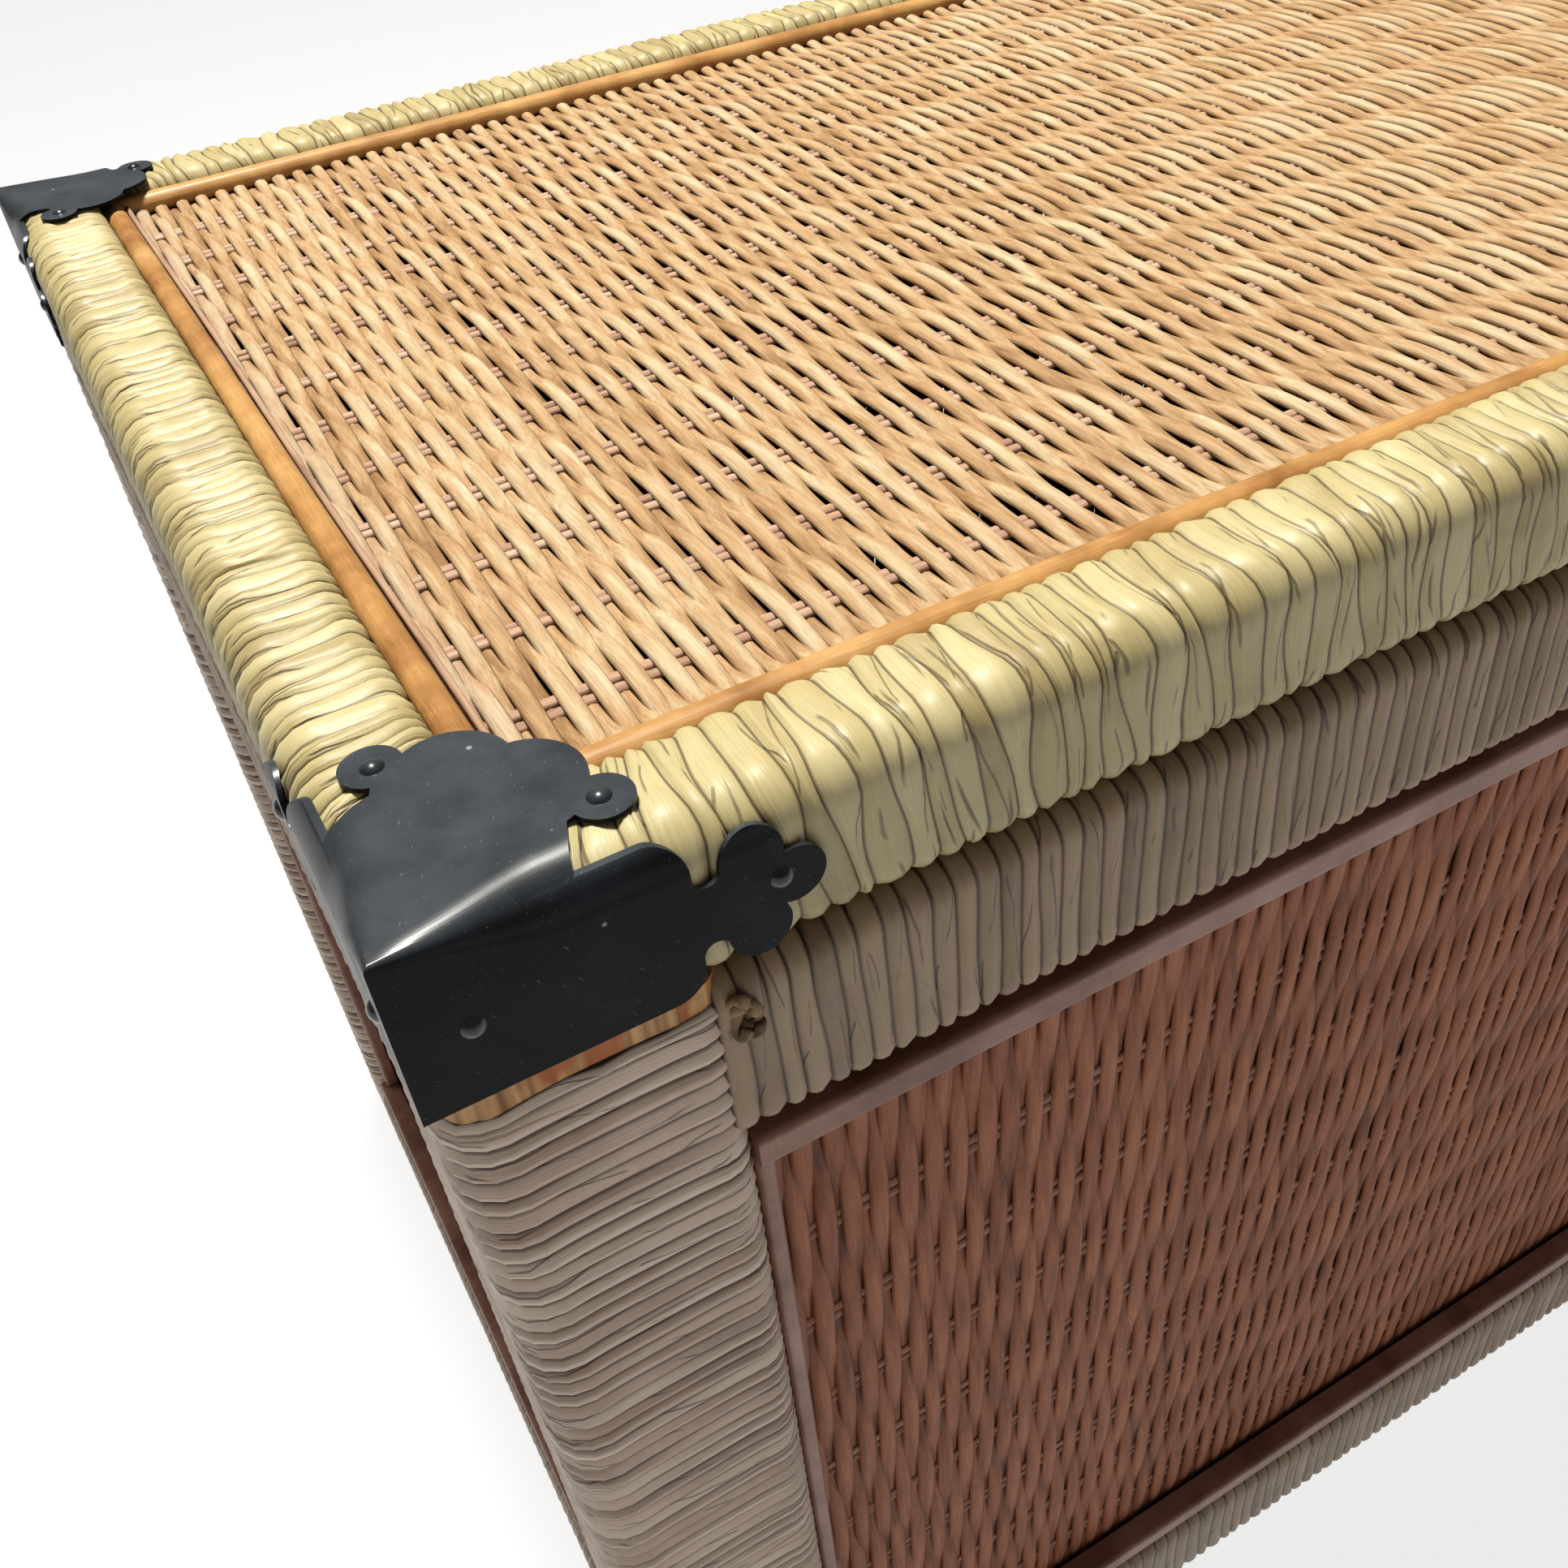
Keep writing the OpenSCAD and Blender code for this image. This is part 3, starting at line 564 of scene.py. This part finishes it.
lo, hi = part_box("lid_panel")
lid_outer_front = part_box("front_left_bracket")[0].y
lid_middle = (lo.z + hi.z) / 2
lid_pairs = [lid_outer_front + 0.0596 + 0.0306 * i for i in range(12)]
lid_reed = peeled_reed("peeled_reed_lid", "Y", "#82613F", "#A58560", "#B7A687", dust=lo.x + 0.0075)
lid_stake = peeled_reed("peeled_stake_lid", "X", "#87644E", "#A88872", "#BAA18C")
woven_panel("lid_weave", "lid_panel", "lid", (lo.x, hi.x), (lo.y, hi.y), lid_pairs, 0.0036, 0.0017, 0.0015,
            lambda across, along, out: np.column_stack([across, along, lid_middle + out]),
            0.0013, (1.34, 1, 0.80), (1, 1, 0.68), lid_reed, lid_stake, 11, parts=2)

# The walls' reeds and stakes are the lid's, made darker and redder by painted shade.
shaded_wall_reed = peeled_reed("peeled_reed_walls_painted_shade", "Z", "#623B28", "#8A563E", "#A26A4D")
shaded_wall_stake_long = peeled_reed("peeled_stake_long_walls_painted_shade", "X", "#6C4232", "#8C5F4C", "#A47663")
shaded_wall_stake_end = peeled_reed("peeled_stake_end_walls_painted_shade", "Y", "#6C4232", "#8C5F4C", "#A47663")
for number, side in enumerate(sides):
    lo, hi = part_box(side + "_panel")
    wall_pairs = [hi.z - 0.0249 - 0.041 * i for i in reversed(range(9))]
    middle = (lo + hi) / 2
    if side in ("front", "back"):
        way = -1 if side == "front" else 1
        woven_panel(side + "_weave", side + "_panel", "case", (lo.x, hi.x), (lo.z, hi.z), wall_pairs, 0.00395,
                    0.00186, 0.00195,
                    lambda across, along, out: np.column_stack(
                        np.broadcast_arrays(across, middle.y + way * out, along)),
                    0.0010, (1.55, 0.76, 1), (1, 0.50, 1), shaded_wall_reed, shaded_wall_stake_long, 21 + number)
    else:
        way = -1 if side == "left" else 1
        woven_panel(side + "_weave", side + "_panel", "case", (lo.y, hi.y), (lo.z, hi.z), wall_pairs, 0.00395,
                    0.00186, 0.00195,
                    lambda across, along, out: np.column_stack(
                        np.broadcast_arrays(middle.x + way * out, across, along)),
                    0.0010, (0.76, 1.55, 1), (0.50, 1, 1), shaded_wall_reed, shaded_wall_stake_end, 21 + number)


# ---- Beads round the panels
# Split cane, honey coloured under satin varnish, pinned over the panels' raw edges. The lid's is half round
# and the walls' is flatter. A thin reed is tucked in beside the lid's left bead.

def varnished_cane(name, dark, mid, light, turn_at):
    """Varnished cane: honey brown, short fibres along it, worn paler in places. Beyond turn_at across the
    object its grain runs the other way, for the beads on the ends."""
    finish, tree, shader, place = new_finish(
        name, IOR=1.5, Specular_IOR_Level=0.2, Coat_Weight=0.14, Coat_Roughness=0.22)
    # Fibres are 0.3 mm wide and 9 mm long.
    fine, long = 1 / 0.0003, 1 / 0.009
    level = add_node(tree, "ShaderNodeMapping", {"Vector": place, "Scale": (long, fine, fine)})
    upright = add_node(tree, "ShaderNodeMapping", {"Vector": place, "Scale": (fine, long, long)})
    x = add_node(tree, "ShaderNodeSeparateXYZ", {0: place}).outputs[0]
    x = add_node(tree, "ShaderNodeMath", {0: x}, operation="ABSOLUTE")
    at_end = add_node(tree, "ShaderNodeMath", {0: x.outputs[0], 1: turn_at}, operation="GREATER_THAN")
    chosen = add_node(tree, "ShaderNodeMix", {0: at_end.outputs[0], 4: level.outputs[0],
                      5: upright.outputs[0]}, data_type="VECTOR")
    fibres = add_node(tree, "ShaderNodeTexNoise", {"Vector": chosen.outputs[1], "Scale": 1.0, "Detail": 3.0})
    wear = add_node(tree, "ShaderNodeTexNoise", {"Vector": place, "Scale": 1 / 0.03, "Detail": 5.0,
                    "Roughness": 0.6})
    colour = add_node(tree, "ShaderNodeValToRGB", {"Fac": wear.outputs["Fac"]},
                      [(0.3, dark), (0.72, light), (0.5, mid)])
    fibre_tone = add_node(tree, "ShaderNodeMapRange", {"Value": fibres.outputs["Fac"], "From Min": 0.3,
                          "From Max": 0.7, "To Min": 0.8, "To Max": 1.08})
    streaked = add_node(tree, "ShaderNodeMix", {0: 1.0, 6: colour.outputs[0], 7: fibre_tone.outputs[0]},
                        data_type="RGBA", blend_type="MULTIPLY")
    rough = add_node(tree, "ShaderNodeMapRange", {"Value": fibres.outputs["Fac"], "To Min": 0.34,
                     "To Max": 0.55})
    bump = add_node(tree, "ShaderNodeBump", {"Height": fibres.outputs["Fac"], "Strength": 0.3,
                    "Distance": 0.0002})
    tree.links.new(streaked.outputs[2], shader.inputs["Base Color"])
    tree.links.new(rough.outputs[0], shader.inputs["Roughness"])
    tree.links.new(bump.outputs[0], shader.inputs["Normal"])
    return finish


lid_cane_lo, lid_cane_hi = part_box("lid_beads")
lid_cane_width = 0.0075
lid_cane = varnished_cane("varnished_cane_lid", "#83572C", "#A47A48", "#BC9660", lid_cane_hi.x - 0.0076)
half_width = lid_cane_width / 2
lid_cane_paths = []
for x in (lid_cane_lo.x + half_width, lid_cane_hi.x - half_width):
    run = np.linspace(lid_cane_lo.y + 0.0005, lid_cane_hi.y - 0.0005, 90)
    lid_cane_paths.append(np.column_stack([x + 0.0001 * np.sin(run / 0.06), run, np.full(90, lid_cane_lo.z)]))
for y in (lid_cane_lo.y + half_width, lid_cane_hi.y - half_width):
    run = np.linspace(lid_cane_lo.x + half_width, lid_cane_hi.x - half_width, 180)
    lid_cane_paths.append(np.column_stack([run, y + 0.0001 * np.sin(run / 0.06),
                                           np.full(180, lid_cane_lo.z)]))
lid_canes = reed_bundle(
    "lid_canes", lid_cane_paths, [half_width * (1 + 0.02 * np.sin(p[:, 0] / 0.05 + p[:, 1] / 0.04))
                                  for p in lid_cane_paths],
    [np.zeros(len(p)) for p in lid_cane_paths], [0.5] * 4, lid_cane, "lid", roundness=5)
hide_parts("lid_beads")
wall_bead_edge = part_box("front_beads")[1].x - 0.0051
# The walls' canes are the lid's cane, made darker by painted shade.
shaded_long_wall_cane = varnished_cane("varnished_cane_long_walls_painted_shade", "#624032", "#845E4E", "#9B7769", wall_bead_edge)
nodes["front_beads"].material_slots[0].material = shaded_long_wall_cane
nodes["back_beads"].material_slots[0].material = shaded_long_wall_cane
shaded_end_wall_cane = varnished_cane("varnished_cane_end_walls_painted_shade", "#624032", "#845E4E", "#9B7769", 0.0)
nodes["left_beads"].material_slots[0].material = shaded_end_wall_cane
nodes["right_beads"].material_slots[0].material = shaded_end_wall_cane

tucked_points = 70
tucked_radius = 0.0009
bead_edge = lid_cane_lo.x + lid_cane_width
tucked_run = np.linspace(lid_cane_lo.y + 0.008, lid_cane_hi.y - 0.008, tucked_points)
tucked_path = np.column_stack([
    np.full(tucked_points, bead_edge + 0.0012) + 0.0002 * np.sin(tucked_run / 0.04),
    tucked_run,
    np.full(tucked_points, lid_cane_lo.z + 0.0006) + 0.0003 * np.sin(tucked_run / 0.025)])
tucked_reed = peeled_reed("tucked_reed", "Y", "#6E4B2F", "#9C734C", "#B38E6A", dust=bead_edge)
reed_bundle("tucked_reed", [tucked_path], [np.full(tucked_points, tucked_radius)],
            [np.zeros(tucked_points)], [0.3], tucked_reed, "lid")


# ---- Tucked leaf end
# The leaf strip ends at the left of the front rim rail, where it is folded back on itself and tucked in
# beside the post. It stands out as a small crumpled knot of loops in the case leaf's colours with their
# painted shade, darker on the loops' lower halves by more painted shade.

rail_lo, rail_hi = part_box("rim_front_wrap")
knot_middle = Vector((rail_lo.x + 0.0006, rail_lo.y + 0.0009, rail_hi.z - 0.0120))
knot_paths, knot_radii = [], []
sweep = np.linspace(0.5, 5.7, 26)
for half_wide, half_tall, tilt, forward in ((0.0026, 0.0062, 0.30, 0.0), (0.0016, 0.0042, -0.45, 0.0008),
                                            (0.0028, 0.0032, 0.80, -0.0005)):
    sideways, upward = half_wide * np.cos(sweep), half_tall * np.sin(sweep)
    knot_paths.append(np.column_stack([
        knot_middle.x + sideways * math.cos(tilt) - upward * math.sin(tilt),
        knot_middle.y - forward - 0.0009 * np.sin(sweep * 1.5),
        knot_middle.z + sideways * math.sin(tilt) + upward * math.cos(tilt)]))
    knot_radii.append(0.00115 * (1 + 0.28 * np.sin(sweep * 2.5)))
folded_leaf = peeled_reed("folded_leaf_end_painted_shade", "Z", "#4E3A28", "#80684C", "#927A5C")
reed_bundle("tucked_leaf_end", knot_paths, knot_radii, [np.sin(sweep)] * len(knot_paths), [0.2, 0.5, 0.8],
            folded_leaf, "case", press=(1, 0.8, 1.25))


# ---- Inner strips, base board and cleats
# Planed pine strips glued behind the panels to clamp them, and a thin plywood floor resting on two pine
# cleats. All of it is seen only with the lid up or from below.

for name in ("inner_strips", "lid_inner_strips", "base_cleats"):
    nodes[name].material_slots[0].material = pine_lengthwise


def birch_plywood(name):
    """Bare birch plywood: pale, with a broad wandering figure, a fine fleck and a dry face."""
    finish, tree, shader, place = new_finish(name, IOR=1.5)
    broad = add_node(tree, "ShaderNodeMapping", {"Vector": place, "Scale": (1 / 0.25, 1 / 0.022, 1 / 0.0015)})
    figure = add_node(tree, "ShaderNodeTexNoise", {"Vector": broad.outputs[0], "Scale": 1.0, "Detail": 3.0,
                      "Distortion": 1.2})
    close = add_node(tree, "ShaderNodeMapping", {"Vector": place,
                     "Scale": (1 / 0.006, 1 / 0.0006, 1 / 0.0006)})
    fleck = add_node(tree, "ShaderNodeTexNoise", {"Vector": close.outputs[0], "Scale": 1.0, "Detail": 2.0})
    mixed = add_node(tree, "ShaderNodeMath", {0: fleck.outputs["Fac"], 1: 0.3, 2: figure.outputs["Fac"]},
                     operation="MULTIPLY_ADD")
    colour = add_node(tree, "ShaderNodeValToRGB", {"Fac": mixed.outputs[0]},
                      [(0.45, "#A67E52"), (0.85, "#DDBB8A"), (0.65, "#C9A06C")])
    rough = add_node(tree, "ShaderNodeMapRange", {"Value": fleck.outputs["Fac"], "To Min": 0.55,
                     "To Max": 0.75})
    bump = add_node(tree, "ShaderNodeBump", {"Height": fleck.outputs["Fac"], "Strength": 0.25,
                    "Distance": 0.0002})
    tree.links.new(colour.outputs[0], shader.inputs["Base Color"])
    tree.links.new(rough.outputs[0], shader.inputs["Roughness"])
    tree.links.new(bump.outputs[0], shader.inputs["Normal"])
    return finish


nodes["base_board"].material_slots[0].material = birch_plywood("birch_plywood")


# ---- Corner brackets and their nails
# Iron sheet 1 mm thick, cut to a leafy outline, folded over each corner of the lid and blackened. Its folds
# narrow to a sharp corner. Domed nails of the same black iron hold it to the rails.

def blackened_iron(name, sheen_colour, scratch_gain, gloss, upright_coat):
    """Oil-blackened sheet iron: near black, blue-grey where light grazes it and in clouds of painted sheen,
    scratched and specked.
    """
    finish, tree, shader, place = new_finish(name, Specular_IOR_Level=0.06, Coat_Roughness=0.26)
    cloud = add_node(tree, "ShaderNodeTexNoise", {"Vector": place, "Scale": 1 / 0.018, "Detail": 5.0,
                     "Roughness": 0.6})
    grit = add_node(tree, "ShaderNodeTexNoise", {"Vector": place, "Scale": 1 / 0.0005, "Detail": 2.0})
    base = add_node(tree, "ShaderNodeValToRGB", {"Fac": cloud.outputs["Fac"]},
                    [(0.3, "#050608"), (0.75, sheen_colour), (0.52, "#0B0D11")])
    # What faces up is paler grey: partly a film of dust and rubbed oxide, partly a painted sheen.
    facing = add_node(tree, "ShaderNodeNewGeometry").outputs["Normal"]
    upward = add_node(tree, "ShaderNodeSeparateXYZ", {0: facing}).outputs[2]
    dust_and_sheen = add_node(tree, "ShaderNodeMapRange", {"Value": upward, "From Min": 0.55, "From Max": 1.0,
                    "To Min": 0.0, "To Max": 0.9})
    dust_and_sheen = add_node(tree, "ShaderNodeMath", {0: dust_and_sheen.outputs[0], 1: cloud.outputs["Fac"]},
                    operation="MULTIPLY")
    dust_and_sheen = add_node(tree, "ShaderNodeMath", {0: dust_and_sheen.outputs[0], 1: 1.7}, operation="MULTIPLY",
                    use_clamp=True)
    # The folds and the top are burnished by hands; the upright faces stay sooty.
    burnish = add_node(tree, "ShaderNodeMapRange", {"Value": upward, "From Min": 0.15, "From Max": 0.8,
                       "To Min": upright_coat, "To Max": 0.6})
    tree.links.new(burnish.outputs[0], shader.inputs["Coat Weight"])
    # Scratches are hairlines 0.15 mm wide that run a few millimetres at two angles.
    scratched = add_node(tree, "ShaderNodeMix", {0: dust_and_sheen.outputs[0], 6: base.outputs[0],
                         7: linear("#33383D")}, data_type="RGBA").outputs[2]
    for turn, long, share in ((0.5, 0.006, 0.735), (-0.9, 0.008, 0.745)):
        turned = add_node(tree, "ShaderNodeMapping", {"Vector": place, "Rotation": (turn, turn, turn)})
        drawn = add_node(tree, "ShaderNodeMapping", {"Vector": turned.outputs[0],
                         "Scale": (1 / 0.0004, 1 / long, 1 / 0.0004)})
        hair = add_node(tree, "ShaderNodeTexNoise", {"Vector": drawn.outputs[0], "Scale": 1.0, "Detail": 1.0})
        bright = add_node(tree, "ShaderNodeMapRange", {"Value": hair.outputs["Fac"], "From Min": share,
                          "From Max": share + 0.05, "To Min": 0.0, "To Max": scratch_gain})
        scratched = add_node(tree, "ShaderNodeMix", {0: bright.outputs[0], 6: scratched,
                             7: linear("#6C727C")}, data_type="RGBA").outputs[2]
    speck = add_node(tree, "ShaderNodeTexVoronoi", {"Vector": place, "Scale": 1 / 0.013})
    dot = add_node(tree, "ShaderNodeMapRange", {"Value": speck.outputs["Distance"], "From Min": 0.03,
                   "From Max": 0.05, "To Min": 0.5, "To Max": 0.0})
    dotted = add_node(tree, "ShaderNodeMix", {0: dot.outputs[0], 6: scratched, 7: linear("#A2A6AC")},
                      data_type="RGBA")
    rough = add_node(tree, "ShaderNodeMapRange", {"Value": cloud.outputs["Fac"], "From Min": 0.3,
                     "From Max": 0.7, "To Min": gloss, "To Max": gloss + 0.14})
    bump = add_node(tree, "ShaderNodeBump", {"Height": grit.outputs["Fac"], "Strength": 0.18,
                    "Distance": 0.00015})
    tree.links.new(dotted.outputs[2], shader.inputs["Base Color"])
    tree.links.new(rough.outputs[0], shader.inputs["Roughness"])
    tree.links.new(bump.outputs[0], shader.inputs["Normal"])
    return finish


bracket_iron = blackened_iron("blackened_iron_sheet", "#15191F", 0.4, 0.30, 0.03)
# The nails' paler sheen colour is a painted glint.
nail_iron = blackened_iron("blackened_iron_nails", "#2C323A", 0.3, 0.16, 0.9)
bracket_fold = 0.011
sharp_fold = 0.0014
taper_length = 0.036


def eased(share):
    """0 to 1 as the share goes from 0 to 1, with soft ends."""
    share = min(max(share, 0.0), 1.0)
    return share * share * (3 - 2 * share)


def tapered_place(offset):
    """Where a point of the sheet goes, from its (along, across, drop) offset from the corner, when the folds
    narrow towards the corner. The two folds are alike, so the nearer edge is taken as the across one."""
    along, across, drop = offset
    swapped = across > along
    if swapped:
        along, across = across, along
    if across <= bracket_fold + 1e-6 and drop <= bracket_fold + 1e-6:
        radius = sharp_fold + (bracket_fold - sharp_fold) * eased(along / taper_length)
        reach = max(math.hypot(bracket_fold - across, bracket_fold - drop), 1e-6)
        kept = max(reach - bracket_fold + radius, 0.0002) / reach
        new_across = radius - (bracket_fold - across) * kept
        drop = radius - (bracket_fold - drop) * kept
        along -= (across - new_across) * (1 - eased((along - across) / 0.020))
        across = new_across
    return (across, along, drop) if swapped else (along, across, drop)


# Cuts across the sheet, measured from the corner, give the folds enough rows to narrow smoothly.
fold_cuts = (0.0125, 0.0145, 0.017, 0.020, 0.0235, 0.0275, 0.032)
for corner in corners:
    node = corner + "_bracket"
    lo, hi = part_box(node)
    way_x = 1 if "left" in corner else -1
    way_y = 1 if "front" in corner else -1
    tip = Vector((lo.x if way_x > 0 else hi.x, lo.y if way_y > 0 else hi.y, hi.z))
    mesh = nodes[node].data.copy()
    mesh.transform(nodes[node].matrix_world)
    old_normals = mesh.attributes.get("custom_normal")
    if old_normals is not None:
        mesh.attributes.remove(old_normals)
    bm = bmesh.new()
    bm.from_mesh(mesh)
    bmesh.ops.remove_doubles(bm, verts=bm.verts, dist=1e-6)
    for cut in fold_cuts:
        for way in (Vector((way_x, 0, 0)), Vector((0, way_y, 0))):
            bmesh.ops.bisect_plane(bm, geom=bm.verts[:] + bm.edges[:] + bm.faces[:], dist=1e-7,
                                   plane_co=tip + way * cut, plane_no=way)
    for vertex in bm.verts:
        offset = vertex.co - tip
        along, across, drop = tapered_place((way_x * offset.x, way_y * offset.y, -offset.z))
        vertex.co = tip + Vector((way_x * along, way_y * across, -drop))
    bmesh.ops.recalc_face_normals(bm, faces=bm.faces)
    bm.to_mesh(mesh)
    bm.free()
    mesh.shade_smooth()
    mesh.set_sharp_from_angle(angle=math.radians(32))
    mesh.materials.clear()
    mesh.materials.append(bracket_iron)
    sheet = bpy.data.objects.new(corner + "_folded_sheet", mesh)
    bpy.context.scene.collection.objects.link(sheet)
    even = sheet.modifiers.new("even_normals", "WEIGHTED_NORMAL")
    even.keep_sharp = True
    even.weight = 100
    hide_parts(node)
    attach(sheet, "lid")
nodes["bracket_nails"].material_slots[0].material = nail_iron


# ---- Hinges
# Two black iron butt hinges, their leaves screwed to the backs of the lid and rim rails with domed screws.
# The pins are plain drawn steel wire, faintly ringed by their drawing.

for name in ("left_hinge_case_leaf", "right_hinge_case_leaf", "left_hinge_lid_leaf", "right_hinge_lid_leaf"):
    nodes[name].material_slots[0].material = bracket_iron
for name in ("case_hinge_screws", "lid_hinge_screws"):
    nodes[name].material_slots[0].material = nail_iron


def drawn_steel(name):
    """Drawn steel wire: mid grey, with faint lengthwise lines and a soft metallic gloss."""
    finish, tree, shader, place = new_finish(name, Metallic=1.0)
    drawn = add_node(tree, "ShaderNodeMapping", {"Vector": place,
                     "Scale": (1 / 0.02, 1 / 0.0003, 1 / 0.0003)})
    lines = add_node(tree, "ShaderNodeTexNoise", {"Vector": drawn.outputs[0], "Scale": 1.0, "Detail": 2.0})
    colour = add_node(tree, "ShaderNodeValToRGB", {"Fac": lines.outputs["Fac"]},
                      [(0.35, "#8E8F92"), (0.7, "#C4C5C8")])
    rough = add_node(tree, "ShaderNodeMapRange", {"Value": lines.outputs["Fac"], "To Min": 0.26,
                     "To Max": 0.42})
    tree.links.new(colour.outputs[0], shader.inputs["Base Color"])
    tree.links.new(rough.outputs[0], shader.inputs["Roughness"])
    return finish


nodes["hinge_pins"].material_slots[0].material = drawn_steel("drawn_steel_wire")


# ---- Floor, light and camera
# A white floor that gives light itself, one small strong light 2 m above the lid's back edge, towards the
# left, and a weak even sky, so that the lid is bright and the front is in its own shade. The camera looks
# down past the lid's front left corner.

floor_mesh = bpy.data.meshes.new("floor")
bm = bmesh.new()
bmesh.ops.create_grid(bm, x_segments=1, y_segments=1, size=60.0)
bm.to_mesh(floor_mesh)
bm.free()
floor = bpy.data.objects.new("floor", floor_mesh)
bpy.context.scene.collection.objects.link(floor)
floor_finish, tree, shader, place = new_finish("backlit_white_paper", Roughness=0.9, Emission_Strength=0.80)
fibre = add_node(tree, "ShaderNodeTexNoise", {"Vector": place, "Scale": 1 / 0.05, "Detail": 4.0})
pale = add_node(tree, "ShaderNodeValToRGB", {"Fac": fibre.outputs["Fac"]},
                [(0.3, "#7E7E7E"), (0.7, "#828282")])
tree.links.new(pale.outputs[0], shader.inputs["Base Color"])
shader.inputs["Emission Color"].default_value = linear("#FFFFFF")
floor_mesh.materials.append(floor_finish)

world = bpy.data.worlds.new("studio")
bpy.context.scene.world = world
world.use_nodes = True
sky = world.node_tree.nodes["Background"]
sky.inputs["Color"].default_value = linear("#F4F1F0")
sky.inputs["Strength"].default_value = 0.20


def softbox(name, energy, size, colour, place, aim):
    """A square area light that faces its aim."""
    light = bpy.data.lights.new(name, "AREA")
    light.energy = energy
    light.size = size
    light.color = linear(colour)[:3]
    lamp = bpy.data.objects.new(name, light)
    bpy.context.scene.collection.objects.link(lamp)
    lamp.location = place
    lamp.rotation_euler = (Vector(aim) - Vector(place)).to_track_quat("-Z", "Y").to_euler()


softbox("key", 104.0, 0.4, "#FFFBF2", (-0.33, 0.30, 2.52), (-0.1, 0.0, 0.45))

corner_lo, corner_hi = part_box("front_left_bracket")
camera_data = bpy.data.cameras.new("camera")
camera_data.sensor_width = 36.0
camera_data.lens = 34.69
camera_data.clip_start = 0.01
camera = bpy.data.objects.new("camera", camera_data)
bpy.context.scene.collection.objects.link(camera)
right = Vector((0.86933858, -0.48645685, -0.08723627))
down = Vector((-0.37675227, -0.53807, -0.75401486))
ahead = Vector((0.31985648, 0.68836066, -0.65103873))
seat = Vector((corner_lo.x - 0.0071, corner_lo.y - 0.1793, corner_hi.z + 0.1704))
camera.matrix_world = Matrix.Translation(seat) @ Matrix((right, -down, -ahead)).transposed().to_4x4()
bpy.context.scene.camera = camera
bpy.context.scene.view_settings.view_transform = "Standard"
